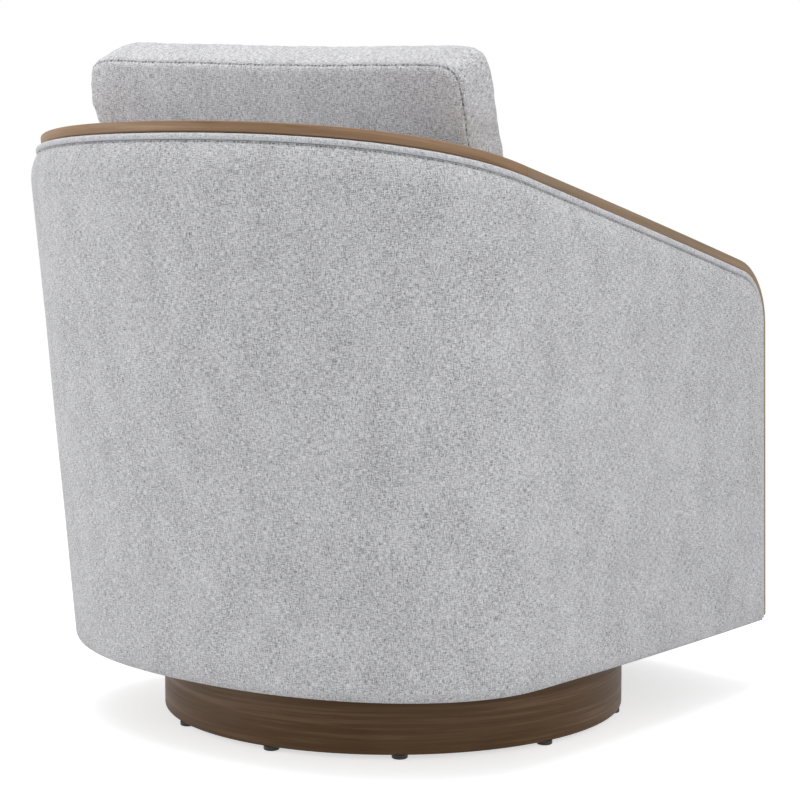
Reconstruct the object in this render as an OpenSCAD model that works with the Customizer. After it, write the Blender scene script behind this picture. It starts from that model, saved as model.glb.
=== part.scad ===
// Upholstered barrel chair that swivels and rocks: a wrap-around shell with a wood cap on a round plinth.
// The swivel axis is x = 0 and y = 0, the floor is z = 0 and the sitter faces -Y. Lengths are millimetres.

/* [Shell] */
// Half of the shell's width at its hem, where the arms meet the round back
shell_half_w = 346; // [340:1:354]
// Swivel axis to the rear of the hem
shell_rear = 375; // [368:1:388]
// Swivel axis to the front of the arms at the hem
shell_front = 396; // [386:1:406]
// Depth of the round part of the back at the hem
round_depth = 235; // [220:1:250]
// How far each arm leans in towards its front end
arm_toe_in = 18; // [12:1:24]
// Floor to the shell's hem
hem_z = 90; // [88:1:94]
// Floor to the top of the wood cap, level with the swivel axis
cap_mid_z = 636; // [616:1:656]
// How far the cap line drops below straight at the middle of the back
cap_ease = 16; // [8:1:22]
// Radius of the cap where it turns down at the front of each arm
corner_r = 60; // [45:1:75]
// Thickness of an arm wall with its padding
arm_wall = 62; // [61:1:64]
// How far the front panel and the seat bow forward of the arms
front_bow = 34; // [20:1:45]

/* [Wood cap] */
// Thickness of the cap
cap_t = 12.5; // [10:0.5:15]
// Width of the cap across the wall
cap_w = 49; // [46:1:52]
// Shell face to the outer edge of the cap
cap_setback = 16; // [14:1:17]

/* [Covers] */
// Thickness of the padded outside cover
cover_t = 15; // [14.5:0.5:16]
// Width of the band along its edges where the outside cover rounds off
cover_roll = 36; // [28:1:48]
// Diameter of the welt cord under the cap
welt_d = 7.5; // [6:0.5:8.5]
// Thickness of the padded inside cover
lining_t = 16; // [15:1:18]
// Height over which the inside back rolls forward from the cap
back_roll = 150; // [120:5:180]
// Thickness of the padded front panel
front_panel_t = 12; // [10:1:14]

/* [Cushions] */
// Floor to the underside of the seat cushion
seat_z = 300; // [298:1:308]
// Thickness of the seat cushion between its seams
seat_cushion_t = 138; // [125:1:150]
// Swivel axis to the rear top seam of the back cushion
back_seam_y = 233; // [225:1:240]
// Floor to the rear top seam of the back cushion
back_seam_z = 795; // [776:1:811]
// Gap between the back cushion and each arm
back_cushion_gap = 3.8; // [3.4:0.2:10]
// Thickness of the back cushion at its edge
back_cushion_t = 112; // [95:1:125]

/* [Plinth] */
// Outside diameter of the round plinth
plinth_d = 582; // [570:2:594]
// Height of the plinth wall
plinth_h = 75; // [72:1:76]
// Thickness of the plinth wall
plinth_wall = 20; // [16:1:24]
// Height of the glides
glide_h = 5.5; // [5:0.5:7]
// Diameter of a glide
glide_d = 19; // [15:1:20]

/* [Swivel and rocker] */
// Side of the square swivel plates
plate_side = 240; // [230:2:250]
// Sheet thickness of the swivel and rocker plates
sheet_t = 3; // [2.5:0.5:4]
// Radius of the ball circle
race_r = 80; // [70:1:88]
// Diameter of a bearing ball
ball_d = 8; // [7:0.5:9]
// Number of bearing balls
ball_count = 20; // [12:1:24]
// Diameter of the rocker's pivot shaft
shaft_d = 14; // [12:1:16]
// Rock back of the seat, in degrees
rock_back = 6; // [4:1:6]
// Rock forward of the seat, in degrees
rock_forward = 4; // [2:1:5]
// Wire of the coil springs
coil_wire_d = 5; // [4:0.5:6]

/* [Frame] */
// Thickness of the seat rails
rail_t = 22; // [20:1:25]
// Thickness of the plywood hoops, ribs and top rail
ply_t = 18; // [15:1:20]
// Floor to the underside of the seat frame
frame_z = 124; // [124:1:130]
// Floor to the top of the seat rails
rail_top_z = 284; // [276:1:286]

/* [Hidden] */

fabric_color = "#b9b9bd";
wood_color = "#7a5f49";
plinth_color = "#5b4735";
steel_color = "#8d9196";
dark_color = "#2c2b2a";
timber_color = "#c9a878";
ply_color = "#d2b98e";

// Facets of the round shapes
round_fn = 64;
small_fn = 32;

// Clearances shared by the whole chair
cut = 1;
lay = 0.3;
running = 0.05;
soft_gap = 1;
cap_clear = 0.7;
chord_allow = 1.5;

// Insets of the wall's layers from its outer face
board_t = 2.6;
frame_inset = cover_t + board_t + 4 * lay;
under_cap = cap_t + cap_clear;
below_welt = under_cap + welt_d + lay;
welt_out = 3.5;
welt_inset = cap_setback - welt_out;

// Leans of the shell, as slopes
side_flare = 0.019;
back_rake = 0.115;
front_rake = 0.073;
cap_slope = 0.243;
round_power = 2.145;

// How the grids along the shell are divided
round_steps = 12;
side_steps = 5;
arc_steps = 6;
front_steps = 5;
cap_round_steps = 24;

// Plan of the shell at a height z
function half_w(z) = shell_half_w + side_flare * (z - hem_z);
function rear_y(z) = shell_rear + back_rake * (z - hem_z);
function round_d(z) = round_depth + back_rake * (z - hem_z) / 2;
function tangent_y(z) = rear_y(z) - round_d(z);
function front_y(z) = -shell_front + front_rake * (z - hem_z);
function mix(a, b, share) = a + (b - a) * share;
function ease(share) = let (s = max(0, min(1, share))) s * s * (3 - 2 * s);
function squircle(t, p) = [sin(t), cos(t)] / pow(pow(abs(sin(t)), p) + pow(abs(cos(t)), p), 1 / p);
function round_pt(t, z, inset) = let (u = squircle(t, round_power))
  [(half_w(z) - inset) * u[0], tangent_y(z) + (round_d(z) - inset) * u[1]];
function side_x(y, z) = let (run = tangent_y(z) + shell_front)
  half_w(z) - arm_toe_in * pow(max(0, tangent_y(z) - y) / run, 2);
function round_y_at(x, z, inset) =
  tangent_y(z) + (round_d(z) - inset) * pow(1 - pow(min(1, x / (half_w(z) - inset)), round_power), 1 / round_power);

// Line of the cap: straight along the arms and eased round the back
slope_len = sqrt(1 + cap_slope * cap_slope);
rake_len = sqrt(1 + front_rake * front_rake);
joint_y = (shell_rear - round_depth + back_rake * (cap_mid_z - hem_z) / 2) / (1 - back_rake * cap_slope / 2);
ease_run = shell_rear + back_rake * (cap_mid_z - hem_z) - joint_y;
function cap_z(y) = cap_mid_z + cap_slope * y - cap_ease * pow(max(0, y - joint_y) / ease_run, 2);
function round_rim_z(t) =
  let (z1 = cap_z(round_pt(t, cap_mid_z, 0)[1]), z2 = cap_z(round_pt(t, z1, 0)[1]))
  cap_z(round_pt(t, z2, 0)[1]);

// Corner where the cap turns down the front of an arm
corner_y = (-shell_front + front_rake * (cap_mid_z - corner_r * slope_len - hem_z) + corner_r * rake_len)
  / (1 - front_rake * cap_slope);
corner_z = cap_mid_z + cap_slope * corner_y - corner_r * slope_len;
turn_from = atan(cap_slope);
turn_to = 90 - atan(front_rake);
arc_start_y = corner_y - corner_r * sin(turn_from);
arc_end = [corner_y - corner_r * sin(turn_to), corner_z + corner_r * cos(turn_to)];

// A station along the rim is [part, value]: 0 round back, 1 straight arm, 2 corner, 3 front edge
straight_share = (joint_y - arc_start_y) / (joint_y + shell_front);
round_stations = [for (k = [0:round_steps]) [0, 90 * k / round_steps]];
side_stations = [for (k = [1:side_steps]) [1, k / side_steps]];
arc_stations = [for (k = [1:arc_steps]) [2, k / arc_steps]];
front_stations = [for (k = [1:front_steps]) [3, k / front_steps]];
half_stations = concat(round_stations, side_stations, arc_stations);
joint_share = lay / (joint_y - arc_start_y);
arm_stations = concat([[1, joint_share]], side_stations, arc_stations, front_stations);

// Both halves in one run, from the sitter's right front, round the back, to the left front
function both(list) = concat(
  [for (k = [len(list) - 1:-1:1]) [-1, list[k]]],
  [for (s = list) [1, s]]);

// Side view of a rim line that lies a distance off inside the cap's top line
function rim_yz(s, off) =
  s[0] == 1 ? let (y = mix(joint_y, arc_start_y, s[1]) + s[1] * off * cap_slope / slope_len)
    [y, cap_mid_z + cap_slope * y - off * slope_len]
  : s[0] == 2 ? let (a = mix(turn_from, turn_to, s[1]))
    [corner_y - (corner_r - off) * sin(a), corner_z + (corner_r - off) * cos(a)]
  : let (z = mix(arc_end[1], hem_z + welt_lift, s[1]))
    [front_y(z) + off / rake_len, z - off * front_rake / rake_len];
welt_lift = 3;
function round_fall(t) = let (t1 = max(0, t - 3), t2 = min(90, t + 3), a = round_pt(t1, cap_mid_z, 0),
  b = round_pt(t2, cap_mid_z, 0)) t == 0 ? 0 : (cap_z(a[1]) - cap_z(b[1])) / norm(b - a);
function rim(s, inset, off) =
  s[0] == 0 ? let (z = round_rim_z(s[1]) - off * sqrt(1 + pow(round_fall(s[1]), 2)))
    concat(round_pt(s[1], z, inset), [z])
  : let (p = rim_yz(s, off)) [side_x(p[0], p[1]) - inset, p[0], p[1]];
function flipped(side, p) = [side * p[0], p[1], p[2]];

// Panels hang from a rim line to the hem: h runs from 0 at the hem to 1 at the rim line
function foot_share(s) = s[0] == 1 ? s[1] * straight_share : mix(straight_share, 1, s[1]);
function panel_yz(s, h, off) = let (t = rim_yz(s, off),
  b = [mix(tangent_y(hem_z), front_y(hem_z) + off, foot_share(s)), hem_z]) mix(b, t, h);
function panel_len(s, off) = (s[0] == 0 ? rim(s, 0, off)[2] : rim_yz(s, off)[1]) - hem_z;
function panel_pt(s, h, inset, off) =
  s[0] == 0 ? let (z = mix(hem_z, rim(s, 0, off)[2], h)) concat(round_pt(s[1], z, inset), [z])
  : let (p = panel_yz(s, h, off)) [side_x(p[0], p[1]) - inset, p[0], p[1]];
function front_gap(s, h, off) = s[0] == 0 ? shell_front
  : let (p = panel_yz(s, h, off)) p[0] - front_y(p[1]) - off;

// A thin closed body from a row of loops; each loop lists one face and then the other face backwards
module shell_loft(loops) {
  n = len(loops[0]);
  m = len(loops);
  half = n / 2;
  sides = [for (a = [0:m - 2], b = [0:n - 1]) let (c = (b + 1) % n)
    each [[a * n + b, a * n + c, a * n + n + c], [a * n + b, a * n + n + c, a * n + n + b]]];
  near = [for (b = [0:half - 2]) each [[b, n - 1 - b, n - 2 - b], [b, n - 2 - b, b + 1]]];
  last = (m - 1) * n;
  far = [for (b = [0:half - 2]) each [[last + b, last + n - 2 - b, last + n - 1 - b],
    [last + b, last + b + 1, last + n - 2 - b]]];
  polyhedron(points = [for (loop = loops) each loop], faces = concat(sides, near, far), convexity = 8);
}

// A closed body from a stack of rings with a middle point at each end
module ring_loft(rings, first, last) {
  n = len(rings[0]);
  m = len(rings);
  sides = [for (a = [0:m - 2], b = [0:n - 1]) let (c = (b + 1) % n)
    each [[a * n + b, a * n + c, a * n + n + c], [a * n + b, a * n + n + c, a * n + n + b]]];
  near = [for (b = [0:n - 1]) [m * n, (b + 1) % n, b]];
  far = [for (b = [0:n - 1]) [m * n + 1, (m - 1) * n + b, (m - 1) * n + (b + 1) % n]];
  polyhedron(points = concat([for (ring = rings) each ring], [first, last]),
    faces = concat(sides, near, far), convexity = 6);
}

// A flat plate with round corners, standing on z = 0
module round_plate(x, y, r, t) {
  linear_extrude(t) {
    square([x - 2 * r, y], center = true);
    square([x, y - 2 * r], center = true);
    for (sx = [-1, 1], sy = [-1, 1])
      translate([sx * (x / 2 - r), sy * (y / 2 - r)]) circle(r, $fn = small_fn);
  }
}

// The four corners of a rectangle of holes, bolts or springs
module four(x, y) {
  for (sx = [-1, 1], sy = [-1, 1]) translate([sx * x, sy * y, 0]) children();
}

// Plinth sizes
plinth_r = plinth_d / 2;
plinth_top_z = glide_h + plinth_h;
plinth_round = 3;
platform_t = 18;
platform_drop = 36.5;
platform_top_z = plinth_top_z - platform_drop;
platform_z = platform_top_z - platform_t;
platform_gap = 0.3;
platform_r = plinth_r - plinth_wall - platform_gap;
platform_hole_r = 34;
block_count = 10;
block_depth = 34;
block_width = 62;
block_h = 14;

// The glides are nailed by hand, so their places are not quite even
glide_angles = [28, 67, 100, 132, 170, 208, 244, 280, 316, 352];
glide_r = plinth_r - plinth_wall / 2;
glide_dome = 2;
glide_nail_d = 3;
glide_nail_in = 12;

module plinth_wall_ring() {
  color(plinth_color)
    difference() {
      translate([0, 0, glide_h])
        rotate_extrude($fn = round_fn)
          translate([plinth_r - plinth_wall, 0])
            union() {
              square([plinth_wall - plinth_round, plinth_h]);
              translate([0, plinth_round]) square([plinth_wall, plinth_h - 2 * plinth_round]);
              for (z = [plinth_round, plinth_h - plinth_round])
                translate([plinth_wall - plinth_round, z]) circle(plinth_round, $fn = small_fn);
            }
      glide_places() cylinder(r = glide_nail_d / 2 + running, h = glide_nail_in + cut, $fn = small_fn);
    }
}

module glide_places() {
  for (a = glide_angles) rotate(a) translate([glide_r, 0, glide_h]) children();
}

module plinth_platform() {
  color(ply_color)
    difference() {
      translate([0, 0, platform_z]) cylinder(r = platform_r, h = platform_t, $fn = round_fn);
      translate([0, 0, platform_z - cut])
        cylinder(r = platform_hole_r, h = platform_t + 2 * cut, $fn = round_fn);
      translate([0, 0, platform_z - cut])
        four(lower_bolt_at, lower_bolt_at) cylinder(r = bolt_r + running, h = platform_t + 2 * cut, $fn = small_fn);
    }
}

module plinth_blocks() {
  color(timber_color)
    intersection() {
      translate([0, 0, platform_z - block_h]) cylinder(r = platform_r, h = block_h, $fn = round_fn);
      for (k = [0:block_count - 1])
        rotate(k * 360 / block_count)
          translate([platform_r - block_depth, -block_width / 2, platform_z - block_h])
            cube([block_depth + cut, block_width, block_h]);
    }
}

module glides() {
  color(dark_color)
    glide_places()
      difference() {
        translate([0, 0, -glide_h])
          rotate_extrude($fn = small_fn)
            union() {
              square([glide_d / 2 - glide_dome, glide_h]);
              translate([0, glide_dome]) square([glide_d / 2, glide_h - glide_dome]);
              translate([glide_d / 2 - glide_dome, glide_dome]) circle(glide_dome, $fn = small_fn);
            }
        translate([0, 0, -glide_h / 2]) cylinder(r = glide_nail_d / 2 + running, h = glide_h, $fn = small_fn);
        translate([0, 0, -glide_h - cut]) cylinder(r = glide_nail_d, h = glide_h / 2 + cut, $fn = small_fn);
      }
}

module glide_nails() {
  color(steel_color)
    glide_places() {
      translate([0, 0, -glide_h / 2]) cylinder(r = glide_nail_d / 2, h = glide_h / 2 + glide_nail_in, $fn = small_fn);
      translate([0, 0, -glide_h / 2 - glide_nail_d / 2])
        cylinder(r = glide_nail_d - running, h = glide_nail_d / 2, $fn = small_fn);
    }
}

// Heights of the swivel bearing, upwards from the platform
lower_plate_top = platform_top_z + sheet_t;
race_lift = 6;
race_w = 16;
race_gap = 3;
ball_z = lower_plate_top + race_lift;
race_clear = 0.3;
upper_plate_z = ball_z + race_lift;
upper_plate_top = upper_plate_z + sheet_t;
plate_corner = 24;
bolt_r = 4;
bolt_head_r = 7;
bolt_head_h = 5.5;
nut_h = 6.5;
lower_bolt_inset = 18;
lower_bolt_at = plate_side / 2 - lower_bolt_inset;
rocker_half_y = 115;
base_half_x = 126;
base_bolt_inset = [22, 23];
base_bolt_at = [min(plate_side / 2, base_half_x), min(plate_side / 2, rocker_half_y)] - base_bolt_inset;
pin_r = 7;
pin_head_r = 14;
pin_head_h = 4.5;

module race(z, h) {
  difference() {
    translate([0, 0, z])
      rotate_extrude($fn = round_fn) translate([race_r - race_w / 2, 0]) square([race_w, h]);
    translate([0, 0, ball_z])
      rotate_extrude($fn = round_fn) translate([race_r, 0]) circle(ball_d / 2 + race_clear, $fn = small_fn);
  }
}

module swivel_lower_plate() {
  color(steel_color)
    difference() {
      union() {
        translate([0, 0, platform_top_z]) round_plate(plate_side, plate_side, plate_corner, sheet_t);
        race(lower_plate_top, race_lift - race_gap / 2);
      }
      translate([0, 0, platform_top_z - cut]) cylinder(r = pin_r + running / 2, h = sheet_t + 2 * cut, $fn = small_fn);
      translate([0, 0, platform_top_z - cut])
        four(lower_bolt_at, lower_bolt_at) cylinder(r = bolt_r + running, h = sheet_t + 2 * cut, $fn = small_fn);
    }
}

module lower_plate_bolts() {
  color(steel_color)
    four(lower_bolt_at, lower_bolt_at) {
      translate([0, 0, lower_plate_top]) cylinder(r1 = bolt_head_r, r2 = bolt_r, h = bolt_r, $fn = small_fn);
      translate([0, 0, platform_z - nut_h]) cylinder(r = bolt_r, h = lower_plate_top - platform_z + nut_h, $fn = small_fn);
      translate([0, 0, platform_z - nut_h]) cylinder(r = bolt_head_r, h = nut_h, $fn = 6);
    }
}

module kingpin() {
  color(steel_color) {
    translate([0, 0, platform_top_z - pin_head_h]) cylinder(r = pin_head_r, h = pin_head_h, $fn = small_fn);
    translate([0, 0, platform_top_z - pin_head_h])
      cylinder(r = pin_r, h = upper_plate_top + lay + pin_head_h * 2 - platform_top_z, $fn = small_fn);
    translate([0, 0, upper_plate_top + lay]) cylinder(r = pin_head_r, h = pin_head_h, $fn = small_fn);
  }
}

module bearing_balls() {
  color(steel_color)
    for (k = [0:ball_count - 1])
      rotate(k * 360 / ball_count) translate([race_r, 0, ball_z]) sphere(ball_d / 2, $fn = small_fn);
}

retainer_t = 1.6;
module ball_retainer() {
  color("#b08d57")
    difference() {
      translate([0, 0, ball_z - retainer_t / 2])
        rotate_extrude($fn = round_fn) translate([race_r - race_w / 2, 0]) square([race_w, retainer_t]);
      for (k = [0:ball_count - 1])
        rotate(k * 360 / ball_count)
          translate([race_r, 0, ball_z - race_w / 2]) cylinder(r = ball_d / 2 + race_clear, h = race_w, $fn = small_fn);
    }
}

module swivel_upper_plate() {
  color(steel_color)
    difference() {
      union() {
        translate([0, 0, upper_plate_z]) round_plate(plate_side, plate_side, plate_corner, sheet_t);
        race(ball_z + race_gap / 2, race_lift - race_gap / 2);
      }
      translate([0, 0, upper_plate_z - cut]) cylinder(r = pin_r + running, h = sheet_t + 2 * cut, $fn = small_fn);
      translate([0, 0, upper_plate_z - cut])
        four(base_bolt_at[0], base_bolt_at[1])
          cylinder(r = bolt_r + running, h = sheet_t + 2 * cut, $fn = small_fn);
    }
}

// Rocker: cheeks stand on the turntable, ears hang from the seat plate, and one shaft joins them
base_top_z = upper_plate_top + sheet_t;
base_edge = 10;
cheek_t = 4;
cheek_r = 16;
cheek_foot = rocker_half_y / 2 + cut / 2;
ear_short = 12;
ear_foot = cheek_foot - ear_short;
cheek_gap = 19;
pivot_z = frame_z - sheet_t - cheek_gap;
cheek_x = base_half_x - base_edge;
bush_flange_t = 2.4;
bush_flange_r = 13;
bush_wall = 2.5;
ear_x = cheek_x - bush_flange_t - lay - cheek_t;
washer_hole_r = 24;

// Outline of a cheek: a flared foot running up to a round head on the pivot
module cheek_shape(foot, rise) {
  reach = norm([foot, rise]);
  lean = acos(cheek_r / reach) - atan(rise / foot);
  polygon([[-foot, -rise], [foot, -rise], [cheek_r * cos(lean), cheek_r * sin(lean)],
    [-cheek_r * cos(lean), cheek_r * sin(lean)]]);
  circle(cheek_r, $fn = small_fn);
}

module cheek(x, foot, rise, up) {
  translate([x, 0, pivot_z])
    rotate([90, 0, 90])
      mirror([0, up ? 0 : 1, 0]) linear_extrude(cheek_t) cheek_shape(foot, rise);
}

module rocker_base() {
  color(steel_color)
    difference() {
      union() {
        translate([0, 0, upper_plate_top]) round_plate(2 * base_half_x, 2 * rocker_half_y, plate_corner / 2, sheet_t);
        cheek(cheek_x, cheek_foot, pivot_z - base_top_z + sheet_t / 2, true);
        cheek(-cheek_x - cheek_t, cheek_foot, pivot_z - base_top_z + sheet_t / 2, true);
      }
      translate([0, 0, upper_plate_top - cut]) cylinder(r = washer_hole_r, h = sheet_t + 2 * cut, $fn = small_fn);
      translate([-base_half_x - cut, 0, pivot_z])
        rotate([0, 90, 0]) cylinder(r = shaft_d / 2 + bush_wall, h = 2 * base_half_x + 2 * cut, $fn = small_fn);
      translate([0, 0, upper_plate_top - cut])
        four(base_bolt_at[0], base_bolt_at[1])
          cylinder(r = bolt_r + running, h = sheet_t + 2 * cut, $fn = small_fn);
    }
}

module rocker_base_bolts() {
  color(steel_color)
    four(base_bolt_at[0], base_bolt_at[1]) {
      translate([0, 0, base_top_z]) cylinder(r = bolt_head_r, h = bolt_head_h / 2, $fn = small_fn);
      translate([0, 0, upper_plate_z - nut_h / 2])
        cylinder(r = bolt_r, h = base_top_z - upper_plate_z + nut_h / 2, $fn = small_fn);
      translate([0, 0, upper_plate_z - nut_h / 2]) cylinder(r = bolt_head_r, h = nut_h / 2, $fn = 6);
    }
}

module pivot_bushes() {
  color("#e8e4da")
    for (side = [-1, 1])
      mirror([side < 0 ? 1 : 0, 0, 0])
        translate([cheek_x - bush_flange_t, 0, pivot_z])
          rotate([0, 90, 0])
            difference() {
              union() {
                cylinder(r = bush_flange_r, h = bush_flange_t, $fn = small_fn);
                cylinder(r = shaft_d / 2 + bush_wall - running / 2, h = bush_flange_t + cheek_t + lay, $fn = small_fn);
              }
              translate([0, 0, -cut])
                cylinder(r = shaft_d / 2 + running, h = bush_flange_t + cheek_t + 3 * cut, $fn = small_fn);
            }
}

spring_inset = [36, 8];
spring_at = base_bolt_at - spring_inset;
coil_r = 17;
coil_turns = 4.5;
cup_t = 2;
cup_lip = 3;
seat_plate_z = frame_z - sheet_t;

module spring_cup() {
  rotate_extrude($fn = small_fn) {
    square([coil_r + coil_wire_d, cup_t]);
    translate([coil_r + coil_wire_d / 2 + soft_gap, 0]) square([cup_t, cup_t + cup_lip]);
  }
}

module spring_cups_lower() {
  color(dark_color) translate([0, 0, base_top_z]) four(spring_at[0], spring_at[1]) spring_cup();
}

module spring_cups_upper() {
  color(dark_color)
    translate([0, 0, seat_plate_z]) mirror([0, 0, 1]) four(spring_at[0], spring_at[1]) spring_cup();
}

// The coils are cut flat where they sit in their cups
coil_rings_per_turn = 12;
coil_sides = 6;
coil_z = base_top_z + cup_t + lay;
coil_h = seat_plate_z - cup_t - lay - coil_z;
coil_gap = (coil_h - coil_wire_d) / coil_turns - coil_wire_d;
echo(least_coil_gap = coil_gap);

module coil() {
  count = round(coil_turns * coil_rings_per_turn);
  rings = [for (k = [0:count]) let (a = 360 * k / coil_rings_per_turn,
      z = coil_wire_d / 2 + (coil_h - coil_wire_d) * k / count)
    [for (b = [0:coil_sides - 1]) let (c = 360 * b / coil_sides,
        r = coil_r + coil_wire_d / 2 * cos(c))
      [r * cos(a), r * sin(a), z + coil_wire_d / 2 * sin(c)]]];
  middle_z = coil_wire_d / 2;
  ring_loft(rings, [coil_r, 0, middle_z],
    [coil_r * cos(360 * coil_turns), coil_r * sin(360 * coil_turns), coil_h - middle_z]);
}

module rocker_springs_front() {
  color(steel_color) for (side = [-1, 1]) translate([side * spring_at[0], -spring_at[1], coil_z]) coil();
}

module rocker_springs_rear() {
  color(steel_color) for (side = [-1, 1]) translate([side * spring_at[0], spring_at[1], coil_z]) coil();
}

stop_inset = 23;
stop_y = rocker_half_y - stop_inset;
stop_r = 12;
stop_rubber_h = 20;
stop_clear = 0.6;
function stop_top(angle) =
  pivot_z + cheek_gap * cos(angle) - (stop_y + stop_r) * sin(angle) - stop_clear;

module stop_posts() {
  color(steel_color)
    for (end = [[1, rock_back], [-1, rock_forward]])
      translate([0, end[0] * stop_y, base_top_z])
        cylinder(r = stop_r * 0.7, h = stop_top(end[1]) - stop_rubber_h - base_top_z, $fn = small_fn);
}

module bump_stops() {
  color(dark_color)
    for (end = [[1, rock_back], [-1, rock_forward]])
      translate([0, end[0] * stop_y, stop_top(end[1]) - stop_rubber_h])
        cylinder(r1 = stop_r, r2 = stop_r * 0.8, h = stop_rubber_h, $fn = small_fn);
}

module rocker_seat_plate() {
  color(steel_color)
    difference() {
      union() {
        translate([0, 0, seat_plate_z]) round_plate(2 * base_half_x, 2 * rocker_half_y, plate_corner / 2, sheet_t);
        cheek(ear_x, ear_foot, cheek_gap + sheet_t / 2, false);
        cheek(-ear_x - cheek_t, ear_foot, cheek_gap + sheet_t / 2, false);
      }
      translate([-base_half_x - cut, 0, pivot_z])
        rotate([0, 90, 0]) cylinder(r = shaft_d / 2 + running / 2, h = 2 * base_half_x + 2 * cut, $fn = small_fn);
      translate([0, 0, seat_plate_z - cut])
        four(cross_bolt_x, cross_y) cylinder(r = bolt_r + running, h = sheet_t + 2 * cut, $fn = small_fn);
    }
}

shaft_out = 9;
clip_t = 1.5;
shaft_half = cheek_x + cheek_t + shaft_out;
module pivot_shaft() {
  color(steel_color)
    difference() {
      translate([-shaft_half, 0, pivot_z]) rotate([0, 90, 0]) cylinder(r = shaft_d / 2, h = 2 * shaft_half, $fn = small_fn);
      for (side = [-1, 1]) clip_groove(side, shaft_d / 2 - clip_t, shaft_d);
    }
}

// Ring round the shaft just outside a cheek
module clip_groove(side, r_in, r_out) {
  translate([side * (cheek_x + cheek_t + clip_t * 2), 0, pivot_z])
    rotate([0, 90, 0])
      difference() {
        cylinder(r = r_out, h = clip_t, center = true, $fn = small_fn);
        cylinder(r = r_in, h = clip_t + cut, center = true, $fn = small_fn);
      }
}

module shaft_clips() {
  color(dark_color)
    difference() {
      for (side = [-1, 1]) clip_groove(side, shaft_d / 2 - clip_t + running, shaft_d / 2 + clip_t * 2);
      translate([-shaft_half - cut, -clip_t * 2, pivot_z - shaft_d]) cube([2 * shaft_half + 2 * cut, clip_t * 4, shaft_d]);
    }
}

// Seat frame: a box of rails inside the shell, carried on two cross rails
rail_gap = 2;
box_half_w = shell_half_w - arm_wall - rail_gap;
cross_t = 30;
cross_h = 45;
cross_edge = 20;
cross_y = rocker_half_y - cross_edge;
cross_bolt_inset = 2;
cross_bolt_x = base_bolt_at[0] - cross_bolt_inset;
cross_gap = 4.17204;
rear_rail_y = cross_y + cross_t / 2 + cross_gap;
lining_gap = 27.7;
inner_tilt = atan((back_seam_y + lining_gap - rear_rail_y) / (back_seam_z - rail_top_z));
function back_plane_y(z) = rear_rail_y + tan(inner_tilt) * (z - rail_top_z);
front_setback = 5;
front_rail_y = front_y(rail_top_z) + front_setback + front_panel_t + soft_gap;
front_half_w = side_x(front_y(hem_z), hem_z) - cap_setback - cap_w - soft_gap;
function bow(x) = front_bow * (1 - pow(min(1, abs(x) / front_half_w), 2));
bow_steps = 8;

module seat_plate_bolts() {
  color(steel_color)
    four(cross_bolt_x, cross_y) {
      translate([0, 0, seat_plate_z - bolt_head_h]) cylinder(r = bolt_head_r, h = bolt_head_h, $fn = 6);
      translate([0, 0, seat_plate_z - bolt_head_h])
        cylinder(r = bolt_r, h = bolt_head_h + sheet_t + cross_h + nut_h, $fn = small_fn);
      translate([0, 0, frame_z + cross_h]) cylinder(r = bolt_head_r, h = nut_h, $fn = 6);
    }
}

module cross_rails() {
  color(timber_color)
    difference() {
      for (sy = [-1, 1])
        translate([-box_half_w + rail_t, sy * cross_y - cross_t / 2, frame_z])
          cube([2 * (box_half_w - rail_t), cross_t, cross_h]);
      translate([0, 0, frame_z - cut])
        four(cross_bolt_x, cross_y) cylinder(r = bolt_r + running, h = cross_h + 2 * cut, $fn = small_fn);
    }
}

side_rail_rear = joint_y - rail_t;
module side_rail() {
  translate([box_half_w - rail_t, front_rail_y + rail_t, frame_z])
    cube([rail_t, side_rail_rear - front_rail_y - rail_t, rail_top_z - frame_z]);
}

module side_rail_left() {
  color(timber_color) side_rail();
}

module side_rail_right() {
  color(timber_color) mirror([1, 0, 0]) side_rail();
}

function bow_places(w) = concat([-w], [for (k = [-bow_steps:bow_steps]) front_half_w * k / bow_steps], [w]);

// A bowed board, wide w to each side, whose front face lies at y
module bowed_board(w, y, t, z, h) {
  translate([0, 0, z])
    linear_extrude(h)
      polygon(concat(
        [for (x = bow_places(w)) [x, y - bow(x)]],
        [for (x = reversed(bow_places(w))) [x, y + t - bow(x)]]));
}

module front_rail() {
  color(timber_color) bowed_board(box_half_w, front_rail_y, rail_t, frame_z, rail_top_z - frame_z);
}

module rear_rail() {
  color(timber_color)
    translate([-box_half_w + rail_t, rear_rail_y, frame_z])
      cube([2 * (box_half_w - rail_t), rail_t, rail_top_z - frame_z]);
}

corner_leg = 55;
corner_drop = 20;
module corner_blocks() {
  color(timber_color)
    for (sx = [-1, 1], end = [[front_rail_y + rail_t, 1], [rear_rail_y, -1]])
      translate([sx * (box_half_w - rail_t), end[0], rail_top_z - corner_drop - corner_leg])
        linear_extrude(corner_leg) polygon([[0, 0], [-sx * corner_leg, 0], [0, end[1] * corner_leg]]);
}

// Flat plywood hoop that follows the shell, notched round the seat frame
hoop_w = 46;
hoop_rear_steps = 10;
module hoop(z) {
  outer = [for (s = both(half_stations_flat)) hoop_pt(s, z, frame_inset)];
  inner = [for (s = both(half_stations_flat)) hoop_pt(s, z, frame_inset + hoop_w)];
  n = len(inner);
  translate([0, 0, z])
    difference() {
      linear_extrude(ply_t) polygon(concat(outer, [for (k = [n - 1:-1:0]) inner[k]]));
      translate([-box_half_w - lay, front_rail_y - front_bow - rail_t, -cut])
        cube([2 * (box_half_w + lay), side_rail_rear + lay - front_rail_y + front_bow + rail_t, ply_t + 2 * cut]);
    }
}
half_stations_flat = concat(round_stations, [for (k = [1:side_steps]) [1, k / side_steps]]);
hoop_front_y = front_y(rail_top_z) + below_welt + soft_gap;
function hoop_pt(s, z, inset) = s[1][0] == 0
  ? let (p = round_pt(s[1][1], z, inset)) [s[0] * p[0], p[1]]
  : let (y = mix(tangent_y(z), hoop_front_y, s[1][1])) [s[0] * (side_x(y, z) - inset), y];

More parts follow.
